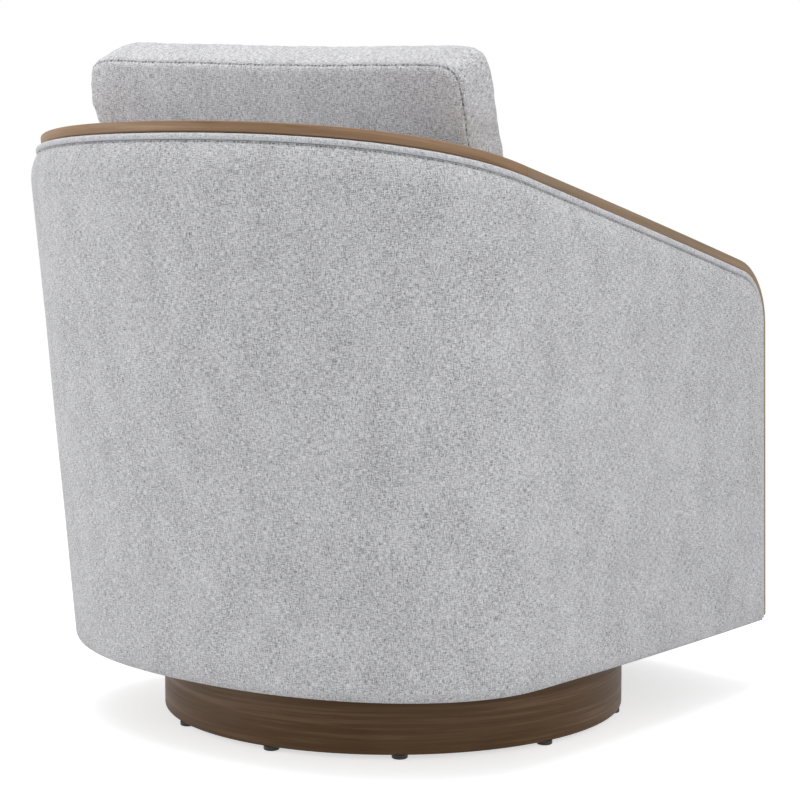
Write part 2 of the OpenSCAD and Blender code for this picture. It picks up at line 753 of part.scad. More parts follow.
module lower_hoop() {
  color(ply_color) hoop(frame_z);
}

module seat_hoop() {
  color(ply_color) hoop(rail_top_z - ply_t);
}

strut_at = 110;
strut_h = 60;
module rear_struts() {
  color(timber_color)
    for (side = [-1, 1], z = [frame_z + ply_t, rail_top_z - ply_t - strut_h])
      translate([side * strut_at - ply_t / 2, rear_rail_y + rail_t, z])
        cube([ply_t, round_y_at(strut_at + ply_t, frame_z, frame_inset) - rear_rail_y - rail_t, strut_h]);
}

// Posts stand on the hoops between the two covers
post_t = 17;
post_w = 42;
front_post_y = corner_y;
rear_post_ys = [-82, 88];
function under_rail_z(y) = cap_z(y) - (under_cap + ply_t) * slope_len - lay;
module post(y, z, h) {
  translate([side_x(y, z) - frame_inset - lay - post_t, y, z]) cube([post_t, post_w, h]);
}

// One post under the seat hoop and one above it
module arm_post(y) {
  post(y, frame_z + ply_t, rail_top_z - 2 * ply_t - frame_z);
  post(y, rail_top_z, under_rail_z(y) - rail_top_z);
}

module arm_posts_front() {
  color(timber_color) for (side = [0, 1]) mirror([side, 0, 0]) arm_post(front_post_y);
}

module arm_posts_rear() {
  color(timber_color) for (side = [0, 1], y = rear_post_ys) mirror([side, 0, 0]) arm_post(y);
}

// Ribs fill the depth between the outside of the round back and the reclined inside back
rib_places = [-200, -104, 0, 104, 200];
rib_steps = 8;
rib_window_share = 0.22;
rib_window_min = 80;
function rib_outer_y(x, z) = round_y_at(x + ply_t / 2, z, frame_inset + chord_allow);
function lining_face_y(x, z) = lookup(x, [for (k = [0:round_steps]) let (s = [0, 90 * k / round_steps],
  p = lining_pt(s, z, lining_roll(s, lining_top(s), z), lining_t)) [p[0], p[1]]]);
function rib_inner_y(x, z) = max(lining_face_y(max(0, x - ply_t / 2), z) + 5 * soft_gap,
  rear_rail_y + rail_t + soft_gap);
function loft_y_at(x, z, out) = back_plane_y(z) + out - corner_depth
  + corner_depth * pow(1 - pow(min(1, x / (half_w(z) - arm_wall + out)), corner_power), 1 / corner_power);
corner_depth = 60;
corner_power = 4;

module back_ribs() {
  color(ply_color)
    for (x = rib_places) {
      z0 = rail_top_z;
      z1 = under_rail_z(rib_outer_y(abs(x), cap_mid_z)) - cap_ease - soft_gap;
      zs = [for (k = [0:rib_steps]) mix(z0, z1, k / rib_steps)];
      translate([x - ply_t / 2, 0, 0])
        rotate([90, 0, 90])
          linear_extrude(ply_t)
            difference() {
              polygon(concat([for (z = zs) [rib_outer_y(abs(x), z), z]],
                [for (k = [rib_steps:-1:0]) [min(rib_inner_y(x, zs[k]), rib_outer_y(abs(x), zs[k]) - rail_t), zs[k]]]));
              for (share = [0.16, 0.42]) let (z = mix(z0, z1, share), a = rib_inner_y(x, z), b = rib_outer_y(abs(x), z))
                if (b - a > rib_window_min)
                  translate([(a + b) / 2, z]) circle((b - a) * rib_window_share, $fn = small_fn);
            }
    }
}

// The top rail lies under the cap; the welt rests against its upper edge and the board covers the rest
top_rail_w = arm_wall - lining_t - frame_inset - lay;
welt_rest = welt_inset + welt_d / 2 + lay;
module top_rail() {
  a = frame_inset;
  b = frame_inset + top_rail_w;
  drop = welt_d;
  section = [[welt_rest, 0], [welt_rest, drop], [a, drop], [a, ply_t],
    [b, ply_t], [b, ply_t * 0.6], [b, ply_t * 0.3], [b, 0]];
  color(ply_color)
    shell_loft([for (s = both(half_stations_flat))
      [for (p = section) flipped(s[0], rim(s[1], p[0], under_cap + p[1]))]]);
}

// Zigzag springs run from the front rail to the rear rail
seat_spring_places = [-190, -95, 0, 95, 190];
zigzag_pitch = 26;
zigzag_half = 24;
zigzag_wire = 4;
clip_sheet = 2;
zigzag_z = rail_top_z + clip_sheet + lay;
clip_w = 22;
clip_len = 16;
front_clip_y = 4;
clip_hold = clip_sheet + lay + zigzag_wire / 2;
zigzag_bend_steps = 4;

// Middle line of a zigzag of a given length: straight runs across, joined by half circles
function zigzag_line(length) = let (count = round(length / (zigzag_pitch / 2)), r = length / count / 2,
    reach = zigzag_half - r)
  concat([[-reach, 0]],
    [for (k = [0:count - 1]) let (side = k % 2 == 0 ? 1 : -1)
      each [for (b = [0:zigzag_bend_steps]) let (a = -90 + 180 * b / zigzag_bend_steps)
        [side * (reach + r * cos(a)), (2 * k + 1) * r + r * sin(a)]]],
    [[count % 2 == 0 ? reach : -reach, length]]);
function line_normal(line, k) = let (a = line[max(0, k - 1)], b = line[min(len(line) - 1, k + 1)], d = (b - a) / norm(b - a))
  [-d[1], d[0]];
function line_band(line, half) = concat(
  [for (k = [0:len(line) - 1]) line[k] + line_normal(line, k) * half],
  [for (k = [len(line) - 1:-1:0]) line[k] - line_normal(line, k) * half]);

module seat_springs() {
  color(steel_color)
    for (x = seat_spring_places) {
      y0 = front_rail_y - bow(x) + front_clip_y + clip_hold;
      y1 = rear_rail_y + rail_t / 2 + clip_len / 2 - clip_hold;
      translate([x, y0, zigzag_z])
        linear_extrude(zigzag_wire) polygon(line_band(zigzag_line(y1 - y0), zigzag_wire / 2));
    }
}

// Each clip is folded over the spring's end wire and open towards the middle of the seat
module spring_clip(x, y, front) {
  translate([x - clip_w / 2, y, rail_top_z])
    difference() {
      cube([clip_w, clip_len, 2 * clip_sheet + zigzag_wire + 2 * lay]);
      translate([-cut, front ? clip_sheet : -clip_sheet, clip_sheet])
        cube([clip_w + 2 * cut, clip_len, zigzag_wire + 2 * lay]);
    }
}

module spring_clips() {
  color(steel_color)
    for (x = seat_spring_places) {
      spring_clip(x, front_rail_y - bow(x) + front_clip_y, true);
      spring_clip(x, rear_rail_y + rail_t / 2 - clip_len / 2, false);
    }
}

// Pad over the seat springs, cut to the inside of the covers
deck_z = zigzag_z + zigzag_wire + clip_sheet + 2 * lay;
deck_t = seat_z - lay - deck_z;
module seat_deck() {
  n = 12;
  half = [for (k = [0:n]) let (y = mix(deck_front_y, back_plane_y(deck_z) - soft_gap, k / n))
    [min(side_x(y, deck_z) - arm_wall - soft_gap, loft_x_limit(y, deck_z)), y]];
  front = [for (k = [bow_steps:-1:-bow_steps]) let (x = front_half_w * k / bow_steps)
    [x, deck_front_y - bow(x)]];
  color("#4a4744")
    translate([0, 0, deck_z])
      linear_extrude(deck_t)
        polygon(concat([for (k = [n:-1:0]) half[k]], front, [for (p = half) [-p[0], p[1]]]));
}
deck_front_y = front_rail_y + soft_gap;
function loft_x_limit(y, z) = let (d = (y + soft_gap - back_plane_y(z) + corner_depth) / corner_depth)
  (half_w(z) - arm_wall - soft_gap) * (d > 0 ? pow(max(0, 1 - pow(min(1, d), corner_power)), 1 / corner_power) : 1);

// Thin cloth closing the underside, open round the mechanism
cloth_t = 1.2;
dust_gap = 6;
module dust_cover() {
  points = [for (s = both(half_stations_flat)) hoop_pt(s, frame_z, frame_inset + hoop_w / 2)];
  color(dark_color)
    translate([0, 0, frame_z - cloth_t - lay])
      difference() {
        linear_extrude(cloth_t) polygon(points);
        translate([-base_half_x - dust_gap, -rocker_half_y - dust_gap, -cut])
          cube([2 * (base_half_x + dust_gap), 2 * (rocker_half_y + dust_gap), cloth_t + 2 * cut]);
      }
}

// Stiff board bent round the frame under the outside cover
lip_t = 2.5;
module outer_board() {
  off = below_welt;
  a = cover_t + 2 * lay;
  color("#8a7358")
    shell_loft([for (s = both(half_stations)) let (side = s[0], t = s[1],
        foot = (lip_t + lay) / panel_len(t, off), hs = [1, 0.66, 0.33, foot])
      concat([for (h = hs) flipped(side, panel_pt(t, h, a, off))],
        [for (k = [3:-1:0]) flipped(side, panel_pt(t, hs[k], a + board_t, off))])]);
}

// Padded outside cover: full in the middle, drawn in to a thin edge under the welt and less at the arm fronts
cover_off = below_welt;
cover_edge = 12.5;
cover_front_edge = 5;
cover_front_roll = 16;
cover_falls = [0, 5, 12, 24, 45];
cover_mid_shares = [0.6, 0.3];
hem_round = 12;
lip_w = 24;
function cover_pull(s) = s[0] == 2 ? mix(cover_edge, cover_front_edge, s[1]) : cover_edge;
function cover_inset(s, h, fall) = max(cover_pull(s) * pow(max(0, 1 - fall / cover_roll), 2),
  cover_front_edge * pow(max(0, 1 - front_gap(s, h, cover_off) / cover_front_roll), 2));
module outer_cover() {
  color(fabric_color)
    shell_loft([for (s = both(half_stations)) let (side = s[0], t = s[1], span = panel_len(t, cover_off),
        falls = concat([for (f = cover_falls) f * cover_roll / cover_falls[4]],
          [for (share = cover_mid_shares) span * (1 - share)], [span - hem_round]),
        outer = concat(
          [for (f = falls) let (h = 1 - f / span) panel_pt(t, h, cover_inset(t, h, f), cover_off)],
          [panel_pt(t, hem_round * 0.4 / span, hem_round * 0.12, cover_off),
            panel_pt(t, hem_round * 0.1 / span, hem_round * 0.4, cover_off),
            panel_pt(t, 0, hem_round, cover_off), panel_pt(t, 0, lip_w, cover_off)]),
        inner = concat(
          [for (f = falls) panel_pt(t, 1 - f / span, cover_t, cover_off)],
          [panel_pt(t, hem_round * 0.5 / span, cover_t, cover_off),
            panel_pt(t, lip_t / span, cover_t, cover_off),
            panel_pt(t, lip_t / span, cover_t + lip_t + lay, cover_off), panel_pt(t, lip_t / span, lip_w, cover_off)]))
      concat([for (p = outer) flipped(side, p)],
        [for (k = [len(inner) - 1:-1:0]) flipped(side, inner[k])])]);
}

// Covered cord laid into the seam between the cover and the cap
welt_sides = 8;
module welt() {
  off = under_cap + welt_d / 2;
  list = both(concat(half_stations, front_stations));
  rings = [for (s = list) [for (b = [0:welt_sides - 1]) let (a = 360 * b / welt_sides)
    flipped(s[0], rim(s[1], welt_inset + welt_d / 2 * sin(a), off + welt_d / 2 * cos(a)))]];
  function middle(s) = flipped(s[0], rim(s[1], welt_inset, off));
  color(fabric_color) ring_loft(rings, middle(list[0]), middle(list[len(list) - 1]));
}

// Padded inside cover: parallel to the arms, rolling forward from the cap to a reclined inside back
lining_off = under_cap;
lining_falls_shares = [0, 0.1, 0.3, 0.55, 0.8, 1];
lining_mid_shares = [0.5];
function lining_foot_y(s) = s[0] == 0 ? 0 : foot_share(s);
function lining_pt(s, z, b, out) = s[0] == 0
  ? let (u = squircle(s[1], corner_power), p = round_pt(s[1], z, arm_wall - out),
      q = [(side_x(back_plane_y(z) - corner_depth, z) - arm_wall + out) * u[0],
        back_plane_y(z) - corner_depth + (corner_depth + out) * u[1]])
    concat(mix(p, q, b), [z])
  : let (y0 = mix(tangent_y(z), back_plane_y(z) - corner_depth, b),
      y = mix(y0, side_end_y(s, z), foot_share(s)))
    [side_x(y, z) - arm_wall + out, y, z];
function side_end_y(s, z) = front_y(z) + lining_off / rake_len;
function lining_top(s) = s[0] == 0 ? rim(s, 0, lining_off)[2] : rim_yz(s, lining_off)[1];
lining_z = deck_z + lay;
module inner_cover() {
  color(fabric_color)
    shell_loft([for (s = both(half_stations)) let (side = s[0], t = s[1], top = lining_top(t),
        zs = concat([for (share = lining_falls_shares) top - share * back_roll],
          [for (share = lining_mid_shares) mix(top - back_roll, lining_z, share)], [lining_z]))
      concat([for (z = zs) flipped(side, lining_pt(t, z, lining_roll(t, top, z), lining_t))],
        [for (k = [len(zs) - 1:-1:0]) flipped(side, lining_pt(t, zs[k], lining_roll(t, top, zs[k]), 0))])]);
}
function lining_roll(s, top, z) = ease((top - z) / back_roll);

// Padded front panel between the arm fronts, wrapped over the front rail
panel_top_z = seat_z - lay;
front_round = 10;
module front_panel() {
  span = panel_top_z - hem_z;
  r = front_round;
  face = [[r, span], [0.3 * r, span - 0.3 * r], [0, span - r], [0, span / 2], [0, r], [0.3 * r, 0.3 * r],
    [r, 0], [front_panel_t + r, 0]];
  back = [[front_panel_t - 0.1 * r, span], [front_panel_t, span - 0.3 * r], [front_panel_t, span - r],
    [front_panel_t, span / 2], [front_panel_t, r], [front_panel_t, 0.6 * r],
    [front_panel_t + 0.2 * r, 0.3 * r], [front_panel_t + r, 0.25 * r]];
  color(fabric_color)
    shell_loft([for (k = [-bow_steps:bow_steps]) let (x = front_half_w * k / bow_steps)
      [for (p = concat(back, reversed(face))) let (z = hem_z + p[1])
        [x, front_y(z) + front_setback + p[0] - bow(x), z]]]);
}

// A run of equal loops closed by flat ends
module panel_loft(loops) {
  n = len(loops[0]);
  m = len(loops);
  sides = [for (a = [0:m - 2], b = [0:n - 1]) let (c = (b + 1) % n)
    each [[a * n + b, a * n + n + c, a * n + c], [a * n + b, a * n + n + b, a * n + n + c]]];
  polyhedron(points = [for (loop = loops) each loop],
    faces = concat(sides, [[for (b = [0:n - 1]) b]], [[for (b = [n - 1:-1:0]) (m - 1) * n + b]]), convexity = 4);
}

// Wood cap: an eased rectangular section swept along the rim
cap_ease_r = 2;
function cap_section(side, s) = let (a = cap_setback, b = cap_setback + cap_w, e = cap_ease_r, t = cap_t)
  [for (p = [[a + e, 0], [a, e], [a, t - e], [a + e, t], [b - e, t], [b, t - e], [b, e], [b - e, 0]])
    flipped(side, rim(s, p[0], p[1]))];

module cap_back() {
  stations = concat([for (k = [0:cap_round_steps - 1]) [0, 90 * k / cap_round_steps]], [[1, 0]]);
  color(wood_color) panel_loft([for (s = both(stations)) reversed(cap_section(s[0], s[1]))]);
}
function reversed(list) = [for (k = [len(list) - 1:-1:0]) list[k]];

module cap_arm(side) {
  color(wood_color)
    panel_loft([for (s = arm_stations) side > 0 ? reversed(cap_section(side, s)) : cap_section(side, s)]);
}

module cap_arm_left() {
  cap_arm(1);
}

module cap_arm_right() {
  cap_arm(-1);
}

// Cushions are drawn from an outline, with rings that step in to the middle of each face
cushion_points = 44;
cushion_power = 7;
seat_seam_z = seat_z + seat_cushion_t;
seat_crown = 12;
seat_pinch = 4;
seam_dip = 2;
seat_rear_y = back_plane_y(seat_z) - soft_gap * 3;
seat_front_y = front_y(seat_z) + front_setback;
seat_mid_y = (seat_rear_y + seat_front_y) / 2;
pillow_power = 0.6;
function pillow(u, v) = pow(max(0, (1 - u * u) * (1 - v * v)), pillow_power);
function unit_at(k) = squircle(360 * k / cushion_points, cushion_power);
function seat_outline(k, grow) = let (u = unit_at(k), reach = (seat_rear_y - seat_front_y) / 2,
    y = seat_mid_y + u[1] * (reach + grow) + (u[1] > 0 ? -1 : 1) * seat_pinch * (1 - u[0] * u[0])
      - max(0, -u[1]) * front_bow * (1 - u[0] * u[0]),
    w = side_x(max(y, seat_front_y), seat_z) - arm_wall - soft_gap * 2)
  [u[0] * (w + grow) - sign(u[0]) * seat_pinch * (1 - u[1] * u[1]) * abs(u[0]), y];
// How far in from the edge each ring of a face lies, and [grow outwards, share of the height] down the sides
face_ring_shares = [0.85, 0.62, 0.42, 0.26, 0.14, 0.06];
seat_side_shares = [[-1, 0.03], [-0.2, 0.12], [0, 0.35], [0, 0.65], [-0.2, 0.88], [-1, 0.97]];
module seat_cushion() {
  center = [0, seat_mid_y];
  function ring(share, z) = [for (k = [0:cushion_points - 1]) let (p = seat_outline(k, -seam_dip))
    concat(mix(p, center, share), [z])];
  function crowned(share) = [for (k = [0:cushion_points - 1]) let (u = unit_at(k) * (1 - share),
      p = mix(seat_outline(k, -seam_dip), center, share))
    concat(p, [seat_seam_z + seat_crown * pillow(u[0], u[1])])];
  rings = concat(
    [for (share = face_ring_shares) ring(share, seat_z)],
    [for (s = seat_side_shares) [for (k = [0:cushion_points - 1])
      concat(seat_outline(k, s[0] * seam_dip), [mix(seat_z, seat_seam_z, s[1])])]],
    [for (share = reversed(face_ring_shares)) crowned(share)]);
  color(fabric_color) ring_loft(rings, concat(center, [seat_z]), concat(center, [seat_seam_z + seat_crown]));
}

// The back cushion leans on the inside back and stands on the seat cushion
rest_share = 0.68;
back_rest_z = seat_seam_z + seat_crown * rest_share + lay;
back_cushion_w = 2 * (half_w(back_rest_z) - arm_wall - back_cushion_gap);
back_h = (back_seam_z - back_rest_z) / cos(inner_tilt) + tan(inner_tilt) * back_cushion_t;
back_crown = 30;
back_rear_crown = 20;
back_taper = -6;
back_round = 46;
back_pinch = 3;
back_power = 11;
function back_outline(k, grow) = let (u = squircle(360 * k / cushion_points, back_power))
  [u[0] * (back_cushion_w / 2 + grow - back_taper * (1 + u[1]) / 2) - sign(u[0]) * back_pinch * (1 - u[1] * u[1]),
    u[1] * (back_h / 2 + grow) - (u[1] > 0 ? back_pinch * (1 - u[0] * u[0]) : 0)];
// From cushion axes (across, up, forward) to the chair
function back_place(p) = let (up = p[1] - back_h / 2,
    y = back_seam_y + up * sin(inner_tilt) - p[2] * cos(inner_tilt),
    z = back_seam_z + up * cos(inner_tilt) + p[2] * sin(inner_tilt))
  [p[0], y, max(z, back_rest_z)];
module back_cushion() {
  function ring(share, grow, deep, crown) = [for (k = [0:cushion_points - 1]) let (p = back_outline(k, grow),
      u = squircle(360 * k / cushion_points, back_power) * (1 - share))
    back_place([p[0] * (1 - share), p[1] * (1 - share), deep + crown * pillow(u[0], u[1])])];
  body = back_cushion_t - back_round;
  rings = concat(
    [for (share = face_ring_shares) ring(share, -seam_dip, 0, -back_rear_crown)],
    [ring(0, -seam_dip, 0, 0), ring(0, 0, seam_dip * 3, 0), ring(0, 0, body, 0)],
    [for (a = [30, 60]) ring(0, -back_round * (1 - cos(a)), body + back_round * sin(a), 0)],
    [for (share = reversed(face_ring_shares)) ring(share, -back_round, back_cushion_t, back_crown)]);
  color(fabric_color)
    ring_loft(rings, back_place([0, 0, -back_rear_crown]), back_place([0, 0, back_cushion_t + back_crown]));
}

plinth_wall_ring();
plinth_platform();
plinth_blocks();
glides();
glide_nails();
swivel_lower_plate();
lower_plate_bolts();
kingpin();
bearing_balls();
ball_retainer();
swivel_upper_plate();
rocker_base();
rocker_base_bolts();
pivot_bushes();
spring_cups_lower();
stop_posts();
bump_stops();
rocker_springs_front();
rocker_springs_rear();
rocker_seat_plate();
pivot_shaft();
shaft_clips();
spring_cups_upper();
seat_plate_bolts();
cross_rails();
side_rail_left();
side_rail_right();
front_rail();
rear_rail();
corner_blocks();
lower_hoop();
seat_hoop();
rear_struts();
arm_posts_front();
arm_posts_rear();
back_ribs();
top_rail();
seat_springs();
spring_clips();
seat_deck();
dust_cover();
outer_board();
outer_cover();
welt();
inner_cover();
front_panel();
cap_back();
cap_arm_left();
cap_arm_right();
seat_cushion();
back_cushion();
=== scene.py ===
# An upholstered barrel chair that swivels and rocks, seen from behind and to one side.
# Lengths are metres. The swivel axis is x = y = 0, the floor is z = 0 and the sitter faces -Y.
from math import acos, atan, atan2, cos, dist, exp, hypot, pi, radians, sin, sqrt, tan

import bpy
import numpy as np
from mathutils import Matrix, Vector


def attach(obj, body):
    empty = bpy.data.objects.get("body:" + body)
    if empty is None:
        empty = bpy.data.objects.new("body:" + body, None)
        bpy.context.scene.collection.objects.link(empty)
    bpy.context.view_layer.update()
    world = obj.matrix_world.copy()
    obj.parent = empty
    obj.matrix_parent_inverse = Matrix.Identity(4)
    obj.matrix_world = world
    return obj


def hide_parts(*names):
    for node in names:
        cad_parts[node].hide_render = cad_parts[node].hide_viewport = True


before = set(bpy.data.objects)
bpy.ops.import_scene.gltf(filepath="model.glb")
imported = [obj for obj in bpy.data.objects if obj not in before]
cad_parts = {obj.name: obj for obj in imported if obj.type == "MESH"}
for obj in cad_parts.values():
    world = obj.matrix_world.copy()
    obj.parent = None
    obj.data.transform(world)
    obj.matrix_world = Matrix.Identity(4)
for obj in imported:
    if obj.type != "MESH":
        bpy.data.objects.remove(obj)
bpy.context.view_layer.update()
bpy.ops.object.select_all(action="DESELECT")

# -------- camera, floor and light
# A long lens from behind the sitter's right shoulder, a little above the seat. The floor and the world are
# white to the camera alone, so that the soft light on the chair stays level.
scene = bpy.context.scene
scene.view_settings.view_transform = "Standard"

lens = bpy.data.cameras.new("camera")
lens.lens = 96.93
lens.sensor_width = 36
lens.clip_end = 50
camera = bpy.data.objects.new("camera", lens)
camera.location = (-1.76361, 2.06386, 0.65045)
camera.rotation_euler = Vector((0.64425, -0.75872, -0.09630)).to_track_quat("-Z", "Y").to_euler()
scene.collection.objects.link(camera)
scene.camera = camera


def add(tree, kind, settings=None, **sockets):
    """A shader node with its settings, and its sockets by name, or by a, b, c where names repeat."""
    node = tree.nodes.new("ShaderNode" + kind)
    for key, value in (settings or {}).items():
        setattr(node, key, value)
    for key, value in sockets.items():
        socket = node.inputs["abc".index(key)] if key in ("a", "b", "c") else node.inputs[key.replace("_", " ")]
        if isinstance(value, bpy.types.NodeSocket):
            tree.links.new(value, socket)
        else:
            socket.default_value = value
    return node


def maths(operation, a, b=0.5):
    return add(a.id_data, "Math", {"operation": operation}, a=a, b=b).outputs[0]


def times(a, b):
    return maths("MULTIPLY", a, b)


def plus(a, b):
    return maths("ADD", a, b)


def bare(kind, name):
    """A new world or material, and its emptied tree."""
    made = kind.new(name)
    made.use_nodes = True
    made.node_tree.nodes.clear()
    return made, made.node_tree


def show(tree, surface, output="OutputMaterial"):
    tree.links.new(surface.outputs[0], add(tree, output).inputs["Surface"])


def camera_sees(tree):
    """1 for the camera, mirrors and glass, 0 for the light that falls on the chair."""
    path = add(tree, "LightPath")
    seen = maths("MAXIMUM", path.outputs["Is Camera Ray"], path.outputs["Is Glossy Ray"])
    return maths("MAXIMUM", seen, path.outputs["Is Transmission Ray"])


def split(tree, lighting, seen):
    """Lights the chair with one shader and shows the camera another."""
    return add(tree, "MixShader", Fac=camera_sees(tree), b=lighting.outputs[0], c=seen.outputs[0])


scene.world, sky = bare(bpy.data.worlds, "studio")
backdrop = add(sky, "Background", Color=(1, 1, 1, 1), Strength=1.0)
fill = add(sky, "Background", Color=(0.985, 0.99, 1.0, 1), Strength=0.55)
show(sky, split(sky, fill, backdrop), "OutputWorld")

bpy.ops.mesh.primitive_plane_add(size=16, location=(0, 0, -0.0005))
floor = bpy.context.object
floor.name = "floor"
paper, tree = bare(bpy.data.materials, "studio_floor")
matte = add(tree, "BsdfDiffuse", Color=(0.8, 0.8, 0.8, 1))
glow = add(tree, "Emission", Color=(1, 1, 1, 1), Strength=0.62)
show(tree, split(tree, matte, add(tree, "AddShader", a=matte.outputs[0], b=glow.outputs[0])))
floor.data.materials.append(paper)

LAMP_AIM = Vector((0, 0, 0.4))
for name, spot, width, watts in (
        ("overhead", (0, 0.3, 2.7), 2.2, 34), ("side", (-2.7, 0.3, 0.9), 1.8, 17), ("rear", (2.2, 2.5, 0.8), 1.8, 33)):
    light = bpy.data.lights.new(name, "AREA")
    light.shape = "SQUARE"
    light.size = width
    light.energy = watts
    holder = bpy.data.objects.new(name, light)
    holder.location = spot
    holder.rotation_euler = (LAMP_AIM - Vector(spot)).to_track_quat("-Z", "Y").to_euler()
    holder.visible_camera = False
    scene.collection.objects.link(holder)

# -------- outside cover
# One padded panel of heathered tweed round the outside of the shell, from arm front to arm front. Its top edge is
# sewn to the welt and pulled in, and its hem is turned under the frame and stapled.
HEM = 0.090
SHELL_FRONT, FRONT_RAKE = 0.396, 0.073
HALF_W, SIDE_FLARE, ARM_TOE_IN = 0.346, 0.019, 0.018
REAR_Y, REAR_FLARE = 0.375, 0.115
ROUND_DEEP, ROUND_FLARE, ROUND_POWER = 0.235, 0.0575, 2.145
CAP_MID, CAP_SLOPE, REAR_DROP = 0.636, 0.243, 0.016
CORNER_R = 0.095
CAP_T, WELT_D = 0.0125, 0.0075
UNDER_CAP = CAP_T + 0.0007
BELOW_WELT = UNDER_CAP + WELT_D + 0.0003
SLOPE_LEN = hypot(1, CAP_SLOPE)
RAKE_LEN = hypot(1, FRONT_RAKE)


def mix(a, b, share):
    return a + (b - a) * share


def half_w(z):
    return HALF_W + SIDE_FLARE * (z - HEM)


def rear_y(z):
    return REAR_Y + REAR_FLARE * (z - HEM)


def round_depth(z):
    return ROUND_DEEP + ROUND_FLARE * (z - HEM)


def round_starts(z):
    return rear_y(z) - round_depth(z)


def front_y(z):
    return -SHELL_FRONT + FRONT_RAKE * (z - HEM)


def squircle(turn, power):
    s, c = sin(turn), cos(turn)
    size = (abs(s) ** power + abs(c) ** power) ** (1 / power)
    return s / size, c / size


def round_point(turn, z, inset):
    u = squircle(turn, ROUND_POWER)
    return (half_w(z) - inset) * u[0], round_starts(z) + (round_depth(z) - inset) * u[1]


def side_x(y, z):
    from_y = round_starts(z)
    return half_w(z) - ARM_TOE_IN * (max(0.0, from_y - y) / (from_y + SHELL_FRONT)) ** 2


# The cap's joints lie where the round back starts, at the cap's own height.
START_FLARE = REAR_FLARE - ROUND_FLARE
JOINT_Y = (REAR_Y - ROUND_DEEP + START_FLARE * (CAP_MID - HEM)) / (1 - START_FLARE * CAP_SLOPE)
EASE_RUN = rear_y(CAP_MID) - JOINT_Y
FALL_STEP = 0.052


def cap_z(y):
    return CAP_MID + CAP_SLOPE * y - REAR_DROP * (max(0.0, y - JOINT_Y) / EASE_RUN) ** 2


CORNER_Y = (front_y(CAP_MID - CORNER_R * SLOPE_LEN) + CORNER_R * RAKE_LEN) / (1 - FRONT_RAKE * CAP_SLOPE)
CORNER_Z = CAP_MID + CAP_SLOPE * CORNER_Y - CORNER_R * SLOPE_LEN
TURN_FROM = atan(CAP_SLOPE)
TURN_TO = pi / 2 - atan(FRONT_RAKE)
ARC_START_Y = CORNER_Y - CORNER_R * sin(TURN_FROM)
ARC_END = (CORNER_Y - CORNER_R * sin(TURN_TO), CORNER_Z + CORNER_R * cos(TURN_TO))
STRAIGHT_SHARE = (JOINT_Y - ARC_START_Y) / (JOINT_Y + SHELL_FRONT)


def round_rim_z(turn):
    z = CAP_MID
    for _ in range(3):
        z = cap_z(round_point(turn, z, 0)[1])
    return z


def round_fall(turn):
    """How steeply the cap falls along the round back."""
    if turn == 0:
        return 0.0
    a, b = (round_point(t, CAP_MID, 0) for t in (max(0, turn - FALL_STEP), min(pi / 2, turn + FALL_STEP)))
    return (cap_z(a[1]) - cap_z(b[1])) / dist(a, b)


def rim_yz(part, share, off):
    """Side view of a line that lies a distance inside the cap's top line."""
    if part == 1:
        y = mix(JOINT_Y, ARC_START_Y, share) + share * off * CAP_SLOPE / SLOPE_LEN
        return y, CAP_MID + CAP_SLOPE * y - off * SLOPE_LEN
    if part == 2:
        a = mix(TURN_FROM, TURN_TO, share)
        return CORNER_Y - (CORNER_R - off) * sin(a), CORNER_Z + (CORNER_R - off) * cos(a)
    z = mix(ARC_END[1], HEM + 0.003, share)
    return front_y(z) + off / RAKE_LEN, z - off * FRONT_RAKE / RAKE_LEN


def rim(station, inset, off):
    """A point a distance inside the shell's outline and below the cap's top line."""
    side, part, value = station
    if part == 0:
        z = round_rim_z(value) - off * sqrt(1 + round_fall(value) ** 2)
        x, y = round_point(value, z, inset)
    else:
        y, z = rim_yz(part, value, off)
        x = side_x(y, z) - inset
    return Vector((side * x, y, z))


def foot_share(part, value):
    return value * STRAIGHT_SHARE if part == 1 else mix(STRAIGHT_SHARE, 1, value)


def panel_yz(part, value, h, off):
    top = rim_yz(part, value, off)
    foot = (mix(round_starts(HEM), front_y(HEM) + off, foot_share(part, value)), HEM)
    return mix(foot[0], top[0], h), mix(foot[1], top[1], h)


def panel_height(station, off):
    part, value = station[1:]
    return (rim(station, 0, off).z if part == 0 else rim_yz(part, value, off)[1]) - HEM


def panel_point(station, h, inset, off):
    side, part, value = station
    if part == 0:
        z = mix(HEM, rim(station, 0, off).z, h)
        x, y = round_point(value, z, inset)
    else:
        y, z = panel_yz(part, value, h, off)
        x = side_x(y, z) - inset
    return Vector((side * x, y, z))


NO_SEAM = 0.4  # far enough from a seam to show no stitches


def front_gap(station, h, off):
    """How far a point lies behind the arm's front edge."""
    part, value = station[1:]
    if part == 0:
        return NO_SEAM
    y, z = panel_yz(part, value, h, off)
    return y - front_y(z) - off


def both_sides(half):
    """Places along one side, from the middle of the back, with the other side's put before them."""
    return [(-1, *s) for s in half[:0:-1]] + [(1, *s) for s in half]


def stations(*counts):
    """Places along the shell, so many to each part: the round back, the side, the corner and the arm front."""
    half = [(0, pi / 2 * k / counts[0]) for k in range(counts[0] + 1)]
    return both_sides(half + [(part, k / n) for part, n in enumerate(counts[1:], 1) for k in range(1, n + 1)])


def run_lengths(points):
    """How far along a row of points each one lies."""
    steps = [0.0] + [(b - a).length for a, b in zip(points, points[1:])]
    return np.cumsum(steps)


def pick(piece):
    bpy.ops.object.select_all(action="DESELECT")
    piece.select_set(True)
    bpy.context.view_layer.objects.active = piece


def dress(piece, material, angle=50):
    """Smooths a piece but for its sharp edges, and gives it its finish."""
    pick(piece)
    bpy.ops.object.shade_smooth_by_angle(angle=radians(angle))
    bpy.ops.object.select_all(action="DESELECT")
    piece.data.materials.append(material)


